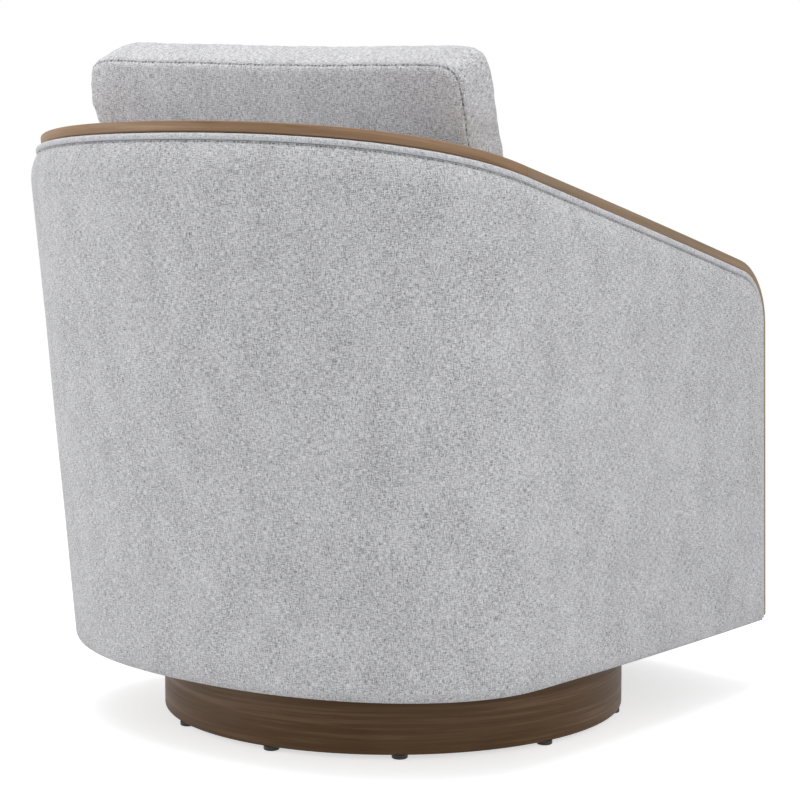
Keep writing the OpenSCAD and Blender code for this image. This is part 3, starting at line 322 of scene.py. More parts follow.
def lofted(name, loops, weave, seam=None):
    """A grid primitive whose crossings are set on the piece's surface; each loop is one of its cross-sections.
    weave gives the cloth or grain at each crossing, in metres along and across the piece, and seam how far each
    crossing lies from the nearest seam and how far along it."""
    columns, rows = len(loops), len(loops[0]) + 1
    bpy.ops.mesh.primitive_grid_add(x_subdivisions=columns - 1, y_subdivisions=rows - 1, size=1)
    piece = bpy.context.object
    piece.name = name
    mesh = piece.data
    where = [(round((v.co.x + 0.5) * (columns - 1)), round((v.co.y + 0.5) * (rows - 1))) for v in mesh.vertices]
    for vertex, (i, j) in zip(mesh.vertices, where):
        vertex.co = loops[i][j % len(loops[0])]
    layer = mesh.uv_layers[0]
    for loop in mesh.loops:
        layer.uv[loop.index].vector = weave[where[loop.vertex_index][0]][where[loop.vertex_index][1]]
    if seam:
        mark_seam(piece, [seam[i][j % len(seam[0])] for i, j in where])
    bpy.ops.object.mode_set(mode="EDIT")
    bpy.ops.mesh.select_all(action="SELECT")
    bpy.ops.mesh.remove_doubles(threshold=1e-6)
    bpy.ops.mesh.select_all(action="DESELECT")
    bpy.ops.mesh.select_mode(type="EDGE")
    bpy.ops.mesh.select_non_manifold()
    bpy.ops.mesh.fill_holes(sides=0)
    bpy.ops.mesh.select_all(action="SELECT")
    bpy.ops.mesh.normals_make_consistent(inside=False)
    bpy.ops.object.mode_set(mode="OBJECT")
    bpy.ops.object.select_all(action="DESELECT")
    return piece


SEAM_MARKS = ("seam_off", "seam_run")


def mark_seam(piece, marks):
    for k, name in enumerate(SEAM_MARKS):
        mark = piece.data.attributes.new(name, "FLOAT", "POINT")
        mark.data.foreach_set("value", [m[k] for m in marks])


def ripple(u, z):
    """The slight unevenness of cloth stretched over padding."""
    return sum(high * sin(a * u + b * z + c) for high, a, b, c in (
        (0.5, 11, 3, 0.0), (0.35, -7, 23, 1.0), (0.25, 31, -13, 2.2)))


def pucker(u, fall):
    """Small gathers where the cloth is pulled to a seam."""
    return exp(-fall / 0.016) * (sin(u * 185) + 0.6 * sin(u * 297 + 1.3) + 0.4 * sin(u * 97 + 0.4))


def node_group(name, inputs, outputs):
    """A tree that materials share; its sockets are listed by kind."""
    group = bpy.data.node_groups.new(name, "ShaderNodeTree")
    for way, sockets in (("INPUT", inputs), ("OUTPUT", outputs)):
        for kind, titles in sockets.items():
            for title in titles:
                group.interface.new_socket(title, in_out=way, socket_type="NodeSocket" + kind)
    return group, group.nodes.new("NodeGroupInput").outputs, group.nodes.new("NodeGroupOutput").inputs


def noise(place, stretch, detail=2.0, rough=0.5, shift=0.0):
    moved = add(place.id_data, "Mapping", Vector=place, Location=(shift, shift * 0.7, shift * 1.3), Scale=stretch)
    grain = add(place.id_data, "TexNoise", Vector=moved.outputs[0], Scale=1.0, Detail=detail, Roughness=rough)
    return grain.outputs["Fac"]


def ramp(value, low, high, out_low=0.0, out_high=1.0):
    return add(value.id_data, "MapRange", {"interpolation_type": "SMOOTHSTEP"}, Value=value,
               From_Min=low, From_Max=high, To_Min=out_low, To_Max=out_high).outputs["Result"]


def blend(share, a, b):
    return add(share.id_data, "MixRGB", Fac=share, Color1=a, Color2=b).outputs[0]


def bump(height, strength, distance, **more):
    return add(height.id_data, "Bump", Height=height, Strength=strength, Distance=distance, **more).outputs[0]


tweed, given, result = node_group("heathered_tweed", {
    "Vector": ["Place"], "Color": ["Ground", "Dark yarn", "Light yarn"], "Float": ["Flecks", "Slub", "Clouds"]},
    {"Color": ["Color"], "Float": ["Height"]})
place = given["Place"]
weft = noise(place, (150, 1100, 150), 2.0)
warp = noise(place, (1100, 150, 1100), 2.0, shift=7.0)
fleck = noise(place, (1200, 1300, 1200), 2.0, 0.6, shift=3.0)
cloud = noise(place, (26, 15, 26), 3.0, 0.6, shift=1.7)
threads = plus(maths("SUBTRACT", weft), maths("SUBTRACT", warp))
threads = times(threads, given["Slub"])
drift = times(maths("SUBTRACT", cloud), given["Clouds"])
heather = plus(fleck, times(threads, 0.48))
heather = plus(heather, times(drift, 0.115))
dark = times(ramp(heather, 0.468, 0.37), given["Flecks"])
pale = times(ramp(heather, 0.505, 0.595), given["Flecks"])
shade = blend(times(pale, 0.9), given["Ground"], given["Light yarn"])
shade = blend(times(dark, 0.9), shade, given["Dark yarn"])
THREADS = 3600.0
apart = add(tweed, "SeparateXYZ", Vector=place).outputs
basket = times(*[maths("SINE", times(apart[axis], THREADS)) for axis in "XY"])
tweed.links.new(shade, result["Color"])
tweed.links.new(plus(heather, times(basket, 0.06)), result["Height"])


# A dark line along each seam, dashed like stitches; it is also painted seam shade, standing in for the shade in the
# seam's crease.
stitched, given, result = node_group(
    "stitches_and_painted_seam_shade", {"Float": ["Off", "Run", "Pitch", "Half width"]}, {"Float": ["Mask", "Height"]})
FULL_TURN = 6.2832
off = maths("ABSOLUTE", given["Off"])
wide = given["Half width"]
line = ramp(off, times(wide, 1.5), times(wide, 0.5))
turn = maths("DIVIDE", given["Run"], given["Pitch"])
turn = times(turn, FULL_TURN)
dash = ramp(maths("SINE", turn), -0.5, 0.2)
along_seam = add(stitched, "CombineXYZ", X=given["Run"])
uneven = ramp(noise(along_seam.outputs[0], (95, 1, 1), 2.0), 0.36, 0.60, 0.35, 1.0)
thread = plus(times(dash, 0.55), 0.45)
thread = times(uneven, thread)
stitched.links.new(times(line, thread), result["Mask"])
stitched.links.new(times(ramp(off, 0.0035, 0.0), -1.0), result["Height"])


# Near-black for the seam line: the stitches' thread and painted seam shade together.
SEAM_STITCH_AND_SHADE_DARK = (0.075, 0.075, 0.082, 1)


def cloth_material(name, flecks=1.0, clouds=1.0, slub=1.0, ground=(0.53, 0.527, 0.543, 1), seam=None):
    """Tweed, with a dark line along its seams, dashed as stitches and painted as the seam's shade: its pitch, half its
    width and how dark it is.
    """
    cloth, tree = bare(bpy.data.materials, name)
    weave = add(tree, "Group", {"node_tree": tweed}, Place=add(tree, "TexCoord").outputs["UV"], Ground=ground,
                Dark_yarn=(0.100, 0.100, 0.108, 1), Light_yarn=(0.78, 0.78, 0.80, 1),
                Flecks=flecks, Slub=slub, Clouds=clouds).outputs
    shade, facing = weave["Color"], bump(weave["Height"], 0.35, 0.0006)
    if seam:
        off, run = [add(tree, "Attribute", {"attribute_name": word}).outputs["Fac"] for word in SEAM_MARKS]
        sewn = add(tree, "Group", {"node_tree": stitched}, Off=off, Run=run, Pitch=seam[0], Half_width=seam[1]).outputs
        shade = blend(times(sewn["Mask"], seam[2]), shade, SEAM_STITCH_AND_SHADE_DARK)
        facing = bump(sewn["Height"], 0.5, 0.0012, Normal=facing)
    show(tree, add(tree, "BsdfPrincipled", Base_Color=shade, Normal=facing, Roughness=0.92, Specular_IOR_Level=0.25,
                   Sheen_Weight=0.12, Sheen_Roughness=0.5))
    return cloth


def seated(piece, body, slot, *nodes):
    """The piece rides on a body and stands for the nodes named."""
    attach(piece, body)
    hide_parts(*nodes)


COVER_T = 0.015
COVER_FALLS = [0, 0.0005, 0.0011, 0.0020, 0.0031, 0.0045, 0.0065, 0.009, 0.012, 0.0155, 0.020, 0.026, 0.034, 0.044,
               0.056]
TOP_TUCK, TOP_ROLL = 0.0105, 0.036
FRONT_TUCK, FRONT_ROLL = 0.0128, 0.024
SEAM_IN = 0.0014
HEM_R, HEM_FLAP, HEM_CLOTH = 0.012, 0.024, 0.0025


def cover_inset(station, h, fall, u, z):
    """How far the cloth lies inside the shell's full outline: rolled in under the welt and at the arm fronts."""
    gap = max(0.0, front_gap(station, h, BELOW_WELT))
    top = TOP_TUCK * max(0.0, 1 - fall / TOP_ROLL) ** 2.2
    front = FRONT_TUCK * max(0.0, 1 - gap / FRONT_ROLL) ** 1.6
    near = min(fall, gap)
    bend = min(1.0, near / 0.03) * 0.0006 * ripple(u, z)
    return max(top, front) - bend - 0.00030 * pucker(u, fall) * min(1.0, near / 0.004)


cover_stations = stations(52, 36, 20)
around = run_lengths([panel_point(s, 0.6, 0, BELOW_WELT) for s in cover_stations])
around -= around[-1] / 2
loops, weave, seam = [], [], []
for station, u in zip(cover_stations, around):
    span = panel_height(station, BELOW_WELT)
    falls = COVER_FALLS + [mix(COVER_FALLS[-1], span - HEM_R, k / 30) for k in range(1, 31)]
    loop, laid, sewn = [], [], []
    for fall in falls:
        h = 1 - fall / span
        z = HEM + h * span
        loop.append(panel_point(station, h, cover_inset(station, h, fall, u, z), BELOW_WELT))
        laid.append((u, z))
        gap = max(0.0, front_gap(station, h, BELOW_WELT))
        sewn.append((min(fall, gap) - SEAM_IN, u if fall < gap else z))
    edge = cover_inset(station, HEM_R / span, span, u, HEM) if station[1] == 2 else 0.0
    for k in range(1, 7):
        a = pi / 2 * k / 6
        inset = min(HEM_R, max(edge, HEM_R * (1 - cos(a))))
        loop.append(panel_point(station, HEM_R * (1 - sin(a)) / span, inset, BELOW_WELT))
        laid.append((u, HEM - 0.003 * k))
    flap = HEM_CLOTH / span
    for h, inset, v in [(0, HEM_FLAP, -0.03), (flap, HEM_FLAP, -0.033), (flap, COVER_T + 0.0028, -0.042)]:
        loop.append(panel_point(station, h, inset, BELOW_WELT))
        laid.append((u, HEM + v))
    for k in range(9):
        loop.append(panel_point(station, mix(flap, 1, k / 8), COVER_T, BELOW_WELT))
        laid.append((u, mix(HEM, HEM + span, k / 8)))
    laid.append((u, HEM + span))
    loops.append(loop)
    weave.append(laid)
    seam.append(sewn + [(NO_SEAM, u)] * (len(loop) - len(sewn)))
outer_cover = lofted("outer_cover", loops, weave, seam)
dress(outer_cover, cloth_material("tweed_outside", seam=(0.0052, 0.0010, 0.85)))
seated(outer_cover, "seat", "tweed", "outer_cover")

# -------- welt
# A cord wrapped in a bias strip of the same tweed, sewn into the seam between the cover and the frame, right under the
# wood cap. It goes round the back, along the arms and down the arm fronts.
WELT_INSET, WELT_STEP_IN = 0.0125, 0.0021
WELT_SIDES = 16


def down_leg(station):
    """0 along the arm, rising to 1 round the turned corner, and 1 down the arm front."""
    return {2: station[2], 3: 1.0}.get(station[1], 0.0)


welt_stations = stations(64, 40, 24, 34)
welt_off = UNDER_CAP + WELT_D / 2
along = run_lengths([rim(s, WELT_INSET, welt_off) for s in welt_stations])
loops, weave = [], []
for station, u in zip(welt_stations, along):
    inset = WELT_INSET + WELT_STEP_IN * down_leg(station)
    r = WELT_D / 2 * (1 + 0.02 * sin(u * 260) + 0.015 * sin(u * 410 + 1))
    turns = [2 * pi * k / WELT_SIDES for k in range(WELT_SIDES)]
    loops.append([rim(station, inset + r * sin(a), welt_off + r * cos(a)) for a in turns])
    weave.append([(u, WELT_D * pi * k / WELT_SIDES) for k in range(WELT_SIDES + 1)])
welt = lofted("welt", loops, weave)
# The welt's tweed is given a paler ground than the cover's: a painted highlight for the light its round cord catches
# under the cap.
dress(welt, cloth_material("tweed_welt_painted_highlight", flecks=0.7, clouds=0.3, ground=(0.60, 0.60, 0.625, 1)), 60)
seated(welt, "seat", "tweed", "welt")

# -------- wood cap
# Three lengths of bent and laminated hardwood, stained brown and lacquered satin, screwed down over the wall's top
# edge. The back length is redder; the arm lengths turn a corner and run down the arm fronts to the hem.
wood, given, result = node_group("stained_grain", {
    "Vector": ["Place"], "Color": ["Base", "Pale streak", "Dark streak"], "Float": ["Figure", "Pores"]},
    {"Color": ["Color"], "Float": ["Roughness", "Height"]})
place = given["Place"]
streak = noise(place, (5.0, 190.0, 190.0), 4.0, 0.6)
broad = noise(place, (2.2, 34.0, 34.0), 3.0, 0.55, shift=4.0)
pore = noise(place, (38.0, 1500.0, 1500.0), 2.0, 0.5, shift=9.0)
patch = noise(place, (7.0, 9.0, 9.0), 2.0, 0.5, shift=2.0)
tone = plus(times(streak, 0.5), times(broad, 0.5))
pale = times(ramp(tone, 0.50, 0.66), given["Figure"])
dark = times(ramp(tone, 0.50, 0.34), given["Figure"])
shade = blend(pale, given["Base"], given["Pale streak"])
shade = blend(dark, shade, given["Dark streak"])
fine = times(ramp(pore, 0.40, 0.30), given["Pores"])
shade = blend(times(fine, 0.55), shade, given["Dark streak"])
worn = times(ramp(patch, 0.45, 0.65), 0.18)
shade = blend(worn, shade, given["Pale streak"])
wood.links.new(shade, result["Color"])
wood.links.new(ramp(tone, 0.3, 0.7, 0.58, 0.46), result["Roughness"])
wood.links.new(maths("SUBTRACT", times(tone, 0.4), fine), result["Height"])


def wood_material(name, base, pale, dark, place="UV", turn=(0, 0, 0), figure=0.8, pores=0.6, coat=0.05,
                  stretch=(1, 1, 1)):
    stained, tree = bare(bpy.data.materials, name)
    laid = add(tree, "Mapping", Vector=add(tree, "TexCoord").outputs[place], Rotation=turn, Scale=stretch)
    grain = add(tree, "Group", {"node_tree": wood}, Place=laid.outputs[0], Base=(*base, 1), Pale_streak=(*pale, 1),
                Dark_streak=(*dark, 1), Figure=figure, Pores=pores).outputs
    show(tree, add(tree, "BsdfPrincipled", Base_Color=grain["Color"], Roughness=grain["Roughness"], Coat_Weight=coat,
                   Coat_Roughness=0.35, Specular_IOR_Level=0.18, Normal=bump(grain["Height"], 0.25, 0.0003)))
    return stained


CAP_SETBACK, CAP_W, CAP_EDGE = 0.016, 0.049, 0.0020
CAP_STEP_IN = 0.0003


def cap_section():
    """Insets and depths round the cap's section, its four corners eased."""
    near, far = CAP_SETBACK + CAP_EDGE, CAP_SETBACK + CAP_W - CAP_EDGE
    top, foot = CAP_EDGE, CAP_T - CAP_EDGE
    points = []
    for corner, (x, y) in enumerate([(near, top), (near, foot), (far, foot), (far, top)]):
        for k in range(4):
            a = radians(270 - 90 * corner - 30 * k)
            points.append((x + CAP_EDGE * cos(a), y + CAP_EDGE * sin(a)))
    return points


def cap_piece(name, slot, cap_stations, material):
    section = cap_section()
    across = [0.0] + list(np.cumsum([dist(a, b) for a, b in zip(section, section[1:] + section[:1])]))
    middle = run_lengths([rim(s, CAP_SETBACK, 0) for s in cap_stations])
    loops = [[rim(s, a + CAP_STEP_IN * down_leg(s), b) for a, b in section] for s in cap_stations]
    cap = lofted(name, loops, [[(u, v) for v in across] for u in middle])
    dress(cap, material, 32)
    seated(cap, "seat", slot, name)


brown = wood_material("cap_back_wood", (0.285, 0.176, 0.100), (0.40, 0.265, 0.165), (0.150, 0.078, 0.040), figure=1.0)
olive = wood_material("cap_arm_wood", (0.265, 0.190, 0.120), (0.36, 0.24, 0.150), (0.165, 0.112, 0.066))
back_run = both_sides([(0, pi / 2 * k / 60) for k in range(60)] + [(1, 0.0)])
cap_piece("cap_back", "stained_cap_back", back_run, brown)
JOINT_GAP = 0.0003
first = JOINT_GAP / (JOINT_Y - ARC_START_Y)
arm_run = [(1, mix(first, 1, k / 30)) for k in range(31)]
arm_run += [(part, k / n) for part, n in ((2, 22), (3, 24)) for k in range(1, n + 1)]
cap_piece("cap_arm_left", "stained_cap_arm", [(1, *s) for s in arm_run], olive)
cap_piece("cap_arm_right", "stained_cap_arm", [(-1, *s) for s in arm_run], olive)

# -------- inside cover
# Padded tweed over the inside of both arms and the reclined inside back. It is tacked to the rail under the cap, with
# a plain seam where each arm panel meets the back panel, and pulled down past the seat.
ARM_WALL = 0.062
LINING_T = 0.016
LINING_FOOT = 0.2932
ROLL_DEEP = 0.150
BACK_CORNER = 0.060
BACK_TILT = radians(16)
SEAM_Y, SEAM_Z, LINING_SETBACK = 0.233, 0.795, 0.0277


def back_plane_y(z):
    return SEAM_Y + LINING_SETBACK - tan(BACK_TILT) * (SEAM_Z - z)


def lining_point(station, z, top, out):
    """The inside wall, which goes over from the shell's round to the flat, leaning back below the top edge."""
    side, part, value = station
    share = min(1.0, max(0.0, (top - z) / ROLL_DEEP))
    rolled = share * share * (3 - 2 * share)
    corner_y = back_plane_y(z) - BACK_CORNER
    if part == 0:
        x0, y0 = round_point(value, z, ARM_WALL - out)
        u = squircle(value, 4)
        x1 = (side_x(corner_y, z) - ARM_WALL + out) * u[0]
        y1 = corner_y + (BACK_CORNER + out) * u[1]
        return Vector((side * mix(x0, x1, rolled), mix(y0, y1, rolled), z))
    start = mix(round_starts(z), corner_y, rolled)
    y = mix(start, front_y(z) + UNDER_CAP / RAKE_LEN, foot_share(part, value))
    return Vector((side * (side_x(y, z) - ARM_WALL + out), y, z))


lining_stations = stations(44, 26, 14)
loops, weave, seam = [], [], []
around = run_lengths([lining_point(s, 0.5, 0.6, 0) for s in lining_stations])
around -= around[-1] / 2
corner_run = max(u for u, s in zip(around, lining_stations) if s[1] == 0)
for station, u in zip(lining_stations, around):
    top = HEM + panel_height(station, UNDER_CAP)
    heights = [top - ROLL_DEEP * k / 14 for k in range(15)]
    heights += [mix(top - ROLL_DEEP, LINING_FOOT, k / 12) for k in range(1, 13)]
    loop, laid, sewn = [], [], []
    for z in heights:
        fold = 0.0045 * max(0.0, 1 - (top - z) / 0.008) ** 2
        dip = 0.0016 * exp(-((abs(u) - corner_run) / 0.004) ** 2)
        loop.append(lining_point(station, z, top, fold + dip + 0.0004 * (1 + ripple(u * 1.3, z))))
        laid.append((u, z))
        sewn.append((abs(u) - corner_run, z))
    for z in (heights[-1], heights[-8], heights[14], heights[7], heights[0]):
        loop.append(lining_point(station, z, top, LINING_T))
        laid.append((u, z + 1))
        sewn.append((NO_SEAM, z))
    laid.append((u, top + 1))
    loops.append(loop)
    weave.append(laid)
    seam.append(sewn)
inner_cover = lofted("inner_cover", loops, weave, seam)
dress(inner_cover, cloth_material("tweed_inside", clouds=0.8, seam=(0.0045, 0.0008, 0.8)))
seated(inner_cover, "seat", "tweed", "inner_cover")

# -------- front panel
# A thin padded panel under the seat cushion, stretched over the bowed front rail and turned under at the top and the
# hem. It fills the space between the two cap ends.
PANEL_HALF, FRONT_BOW, PANEL_T, PANEL_TOP = 0.262, 0.034, 0.012, 0.2997


def bow(x):
    return FRONT_BOW * (1 - min(1.0, abs(x) / PANEL_HALF) ** 2)


PANEL_EDGE, PANEL_END = 0.010, 0.0035
loops, weave = [], []
span = PANEL_TOP - HEM
back = [(PANEL_T - 0.001, span)]
back += [(PANEL_T, v) for v in (span - 0.003, span * 0.7, span * 0.4, 0.010, 0.006)]
back += [(PANEL_T + 0.002, 0.003), (PANEL_T + 0.010, 0.0025), (PANEL_T + 0.010, 0.0)]
for k in range(-40, 41):
    x = PANEL_HALF * k / 40
    end = PANEL_END * max(0.0, 1 - (PANEL_HALF - abs(x)) / PANEL_EDGE) ** 2
    face = []
    for j in range(31):
        h = j / 30 * span
        near = min(h, span - h)
        rolled = PANEL_EDGE * (1 - sqrt(1 - max(0.0, 1 - near / PANEL_EDGE) ** 2))
        face.append((max(rolled, end) - 0.0004 * ripple(x * 1.5, h) * min(1, near / 0.02), h))
    ring = face + back
    loops.append([Vector((x, front_y(HEM + h) + 0.005 + p - bow(x), HEM + h)) for p, h in ring])
    weave.append([(x, h + (1 if j > 30 else 0)) for j, (p, h) in enumerate(ring)] + [(x, 1)])
front_panel = lofted("front_panel", loops, weave)
dress(front_panel, cloth_material("tweed_front", clouds=0.8))
seated(front_panel, "seat", "tweed", "front_panel")

# -------- back cushion
# A loose box cushion stuffed with fibre, leaning on the inside back. Plain seams run round its rear and front faces;
# its fill has settled a little to one side, so one top corner stands higher than the other.
BACK_HALF, BACK_WIDEN, BACK_DEEP, BACK_REST = 0.287, 0.003, 0.112, 0.44646
BACK_HIGH = (SEAM_Z - BACK_REST) / cos(BACK_TILT) + tan(BACK_TILT) * BACK_DEEP
BACK_POWER, BACK_SEAMS = 18, (0.002, 0.068)
BACK_SIDE, BACK_ROUNDING, BACK_CROWN, BACK_HOLLOW = 0.046, 0.028, 0.040, 0.009
REAR_RING, FRONT_RING = 0.34, 0.66
BACK_ACROSS = np.array((1.0, 0.0, 0.0))
BACK_UP = np.array((0.0, sin(BACK_TILT), cos(BACK_TILT)))
BACK_OUT = np.array((0.0, -cos(BACK_TILT), sin(BACK_TILT)))
BACK_ORIGIN = np.array((0.0, SEAM_Y, SEAM_Z)) - BACK_UP * BACK_HIGH / 2


def pillow(u, v, power=0.6):
    return max(0.0, (1 - u * u) * (1 - v * v)) ** power


def read(items, word, size=3, kind=float):
    values = np.empty(len(items) * size, dtype=kind)
    items.foreach_get(word, values)
    return values.reshape(-1, size) if size > 1 else values


def points_of(piece):
    return read(piece.data.vertices, "co")


def set_points(piece, co):
    piece.data.vertices.foreach_set("co", np.asarray(co, dtype=np.float32).ravel())
    piece.data.update()


BLOW_FRAMES, SEAM_HOLD = 20, 0.011


def stuffed(piece, voxel, most, hold, seam_at):
    """The cut form is meshed evenly and blown up as cloth between its seams, which keep their cut length, no point
    further than its limit. Then it is held inside what surrounds it and given one subdivision."""
    pick(piece)
    even = piece.modifiers.new("even", "REMESH")
    even.mode = "VOXEL"
    even.voxel_size = voxel
    bpy.ops.object.modifier_apply(modifier=even.name)
    cut = points_of(piece)
    near = np.exp(-(seam_at(cut)[0] / SEAM_HOLD) ** 2)
    sewn = piece.vertex_groups.new(name="sewn")
    for k, share in enumerate(near):
        if share > 0.02:
            sewn.add([k], float(share), "REPLACE")
    cloth = piece.modifiers.new("filling", "CLOTH")
    for setting, value in dict(
            vertex_group_mass=sewn.name, quality=6, mass=0.25, tension_stiffness=25, compression_stiffness=12,
            shear_stiffness=8, bending_stiffness=1.0, use_pressure=True, uniform_pressure_force=9).items():
        setattr(cloth.settings, setting, value)
    cloth.settings.effector_weights.gravity = 0
    cloth.point_cache.frame_start = 1
    cloth.point_cache.frame_end = BLOW_FRAMES
    for k in range(1, BLOW_FRAMES + 1):
        scene.frame_set(k)
    bpy.ops.object.modifier_apply(modifier=cloth.name)
    scene.frame_set(1)
    moved = points_of(piece) - cut
    far = np.linalg.norm(moved, axis=1)[:, None]
    moved *= np.minimum(1, most / np.maximum(far, 1e-9)) * (1 - near)[:, None]
    set_points(piece, hold(cut + moved))
    piece.vertex_groups.clear()
    finer = piece.modifiers.new("round", "SUBSURF")
    finer.levels = finer.render_levels = 1
    bpy.ops.object.modifier_apply(modifier=finer.name)
    set_points(piece, hold(points_of(piece)))


def cut_panels(piece, axes):
    """Cloth laid flat on each side of a cushion, as its panels were cut: metres along the cushion's own axes."""
    mesh = piece.data
    frame_axes = np.array(axes).T
    at = (points_of(piece) @ frame_axes)[read(mesh.loops, "vertex_index", 1, np.int32)]
    facing = (read(mesh.polygons, "normal") @ frame_axes).repeat(read(mesh.polygons, "loop_total", 1, np.int32), axis=0)
    side = np.abs(facing).argmax(axis=1)
    ends = np.where((side == 1)[:, None], at[:, [0, 2]], at[:, [2, 1]])
    uv = np.where((side == 2)[:, None], at[:, [0, 1]], ends)
    uv[:, 0] += 0.7 * side + 0.31 * (facing[np.arange(len(side)), side] > 0)
    layer = mesh.uv_layers[0] if mesh.uv_layers else mesh.uv_layers.new(name="cloth")
    layer.uv.foreach_set("vector", uv.astype(np.float32).ravel())


def bag(name, point):
    """A closed ball of quads, its points carried to a cushion's form by their turn and their place front to back."""
    bpy.ops.mesh.primitive_uv_sphere_add(segments=128, ring_count=72, radius=1)
    piece = bpy.context.object
    piece.name = name
    for vertex in piece.data.vertices:
        ring = acos(max(-1, min(1, vertex.co.z))) / pi
        vertex.co = point(atan2(vertex.co.x, vertex.co.y), ring)
    bpy.ops.object.mode_set(mode="EDIT")
    bpy.ops.mesh.select_all(action="SELECT")
    bpy.ops.mesh.normals_make_consistent(inside=False)
    bpy.ops.object.mode_set(mode="OBJECT")
    return piece


def back_half_width(up):
    """The back cushion is a little wider at its top."""
    return BACK_HALF + BACK_WIDEN * (1 + up / (BACK_HIGH / 2))


def back_form(turn, ring):
    """Across, up and forward of one point: the rear face, the four sides and the rounded front face."""
    u = squircle(turn, BACK_POWER)
    grow, crown = 0.001, 0
    if ring < REAR_RING:
        share, deep, crown = 1 - ring / REAR_RING, BACK_SEAMS[0], -BACK_HOLLOW
    elif ring < FRONT_RING:
        share, deep = 0, mix(BACK_SEAMS[0], BACK_SIDE, (ring - REAR_RING) / (FRONT_RING - REAR_RING))
    else:
        share = (ring - FRONT_RING) / (1 - FRONT_RING)
        a = min(1.0, share / 0.22) * pi / 2
        deep, crown = BACK_SIDE + BACK_ROUNDING * sin(a), BACK_CROWN
        grow -= BACK_ROUNDING * (1 - cos(a))
        share = max(0.0, (share - 0.22) / 0.78)
    up = u[1] * (BACK_HIGH / 2 + grow)
    across = u[0] * (back_half_width(up) + grow)
    deep += crown * pillow(u[0] * (1 - share), u[1] * (1 - share))
    return BACK_ORIGIN + BACK_ACROSS * across * (1 - share) + BACK_UP * up * (1 - share) + BACK_OUT * deep


LIFT_FROM, FRONT_LIFT = 0.50, 0.175


def settled(co):
    """The fill's lean to the sitter's left: that top corner up, the other down, and the side bulging over the cap."""
    across, high = co[:, 0], co[:, 2]
    left = across > 0
    lift = np.clip((high - LIFT_FROM) / (SEAM_Z - LIFT_FROM), 0, 1.15)
    forward = np.clip((co - BACK_ORIGIN) @ BACK_OUT, 0, 0.075)
    rise = np.clip(np.where(left, (high - 0.690) / 0.042, (high - 0.60) / 0.12), 0, 1)
    rise = rise * rise * (3 - 2 * rise)
    bulge = np.where(left, 0.028 - 0.005 * np.clip((high - 0.72) / 0.07, 0, 1), 0.006)
    out = co.copy()
    out[:, 2] += (0.0025 + 0.035 * across + 0.030 * np.maximum(0, across)) * lift
    out[:, 2] += FRONT_LIFT * forward * np.minimum(lift, 1) ** 2
    out[:, 0] += bulge * rise * (across / BACK_HALF) ** 2
    return out


OVER_CAP_Z = 0.745


def back_held(co):
    """Kept off the inside back, the cap and the seat cushion, and flat where it stands on the seat cushion."""
    from_origin = co - BACK_ORIGIN
    across, up, deep = from_origin @ BACK_ACROSS, from_origin @ BACK_UP, from_origin @ BACK_OUT
    over = 1 - np.clip((OVER_CAP_Z - co[:, 2]) / 0.03, 0, 1)
    deep = np.maximum(deep, -0.0215 - over * 0.004)
    limit = 0.2885 + over * 0.0065
    across = np.clip(across, -limit, limit)
    out = BACK_ORIGIN + np.outer(across, BACK_ACROSS) + np.outer(up, BACK_UP) + np.outer(deep, BACK_OUT)
    out[:, 2] = np.maximum(out[:, 2], BACK_REST)
    return out


SLANT = 0.707


def box_seams(half, power, depths, local):
    """Signed distance from the nearest of a cushion's two seams, and the run along it. local gives each point
    across, up and deep, and half the outline's half sizes at each point."""
    across, up, deep = local
    u, v = np.abs(across / half[0]), np.abs(up / half[1])
    r = np.maximum((u ** power + v ** power) ** (1 / power), 1e-6)
    slope_u, slope_v = (u / r) ** (power - 1) / half[0], (v / r) ** (power - 1) / half[1]
    inset = np.maximum(-0.02, (1 - r) / np.hypot(slope_u, slope_v))
    rear, front = (deep - depths[0] - inset) * SLANT, (depths[1] - deep - inset) * SLANT
    off = np.where(deep < (depths[0] + depths[1]) / 2, rear, front)
    return off, np.where(slope_v > slope_u, across, up + 1)


SEAM_DENT, SEAM_GATHERS = 0.0014, 0.0004


def sew(piece, off, run):
    """Pulls the cloth in along the seams, with small gathers beside them, and marks them for the stitches and the
    painted seam shade.
    """
    wave = np.sin(run * 190) + 0.6 * np.sin(run * 311 + 1.3) + 0.5 * np.sin(run * 97 + 0.4)
    dent = SEAM_DENT * np.exp(-(off / 0.0032) ** 2) + SEAM_GATHERS * wave * np.exp(-np.abs(off) / 0.010)
    set_points(piece, points_of(piece) - read(piece.data.vertices, "normal") * dent[:, None])
    mark_seam(piece, list(zip(off, run)))


def back_seams(co):
    spot = co - BACK_ORIGIN
    spot = (spot @ BACK_ACROSS, spot @ BACK_UP, spot @ BACK_OUT)
    halves = (back_half_width(spot[1]), np.full(len(co), BACK_HIGH / 2))
    return box_seams(halves, BACK_POWER, BACK_SEAMS, spot)


def box_cushion(name, form, voxel, most, hold, seams, axes):
    piece = bag(name, form)
    stuffed(piece, voxel, most, hold, seams)
    cut_panels(piece, axes)
    sew(piece, *seams(points_of(piece)))
    return piece


back_cushion = box_cushion("back_cushion", back_form, 0.0065, 0.008, back_held, back_seams,
                           (BACK_ACROSS, BACK_UP, BACK_OUT))
creases = points_of(back_cushion)
x, z = creases[:, 0], creases[:, 2]
slack = 0.0009 * (np.sin(x * 21 + z * 9) + 0.7 * np.sin(x * 47 - z * 31 + 2))
creases += np.outer(slack * np.clip((z - 0.72) / 0.03, 0, 1), BACK_OUT)
set_points(back_cushion, settled(creases))
# The back cushion's tweed has a paler ground than the other covers: painted light, lifting its rear face, which leans
# back and down away from the lamps.
back_tweed_painted_light = cloth_material("tweed_back_cushion_painted_light", ground=(0.55, 0.547, 0.563, 1), seam=(0.0058, 0.0011, 0.95))
dress(back_cushion, back_tweed_painted_light, 180)
seated(back_cushion, "seat", "tweed", "back_cushion")

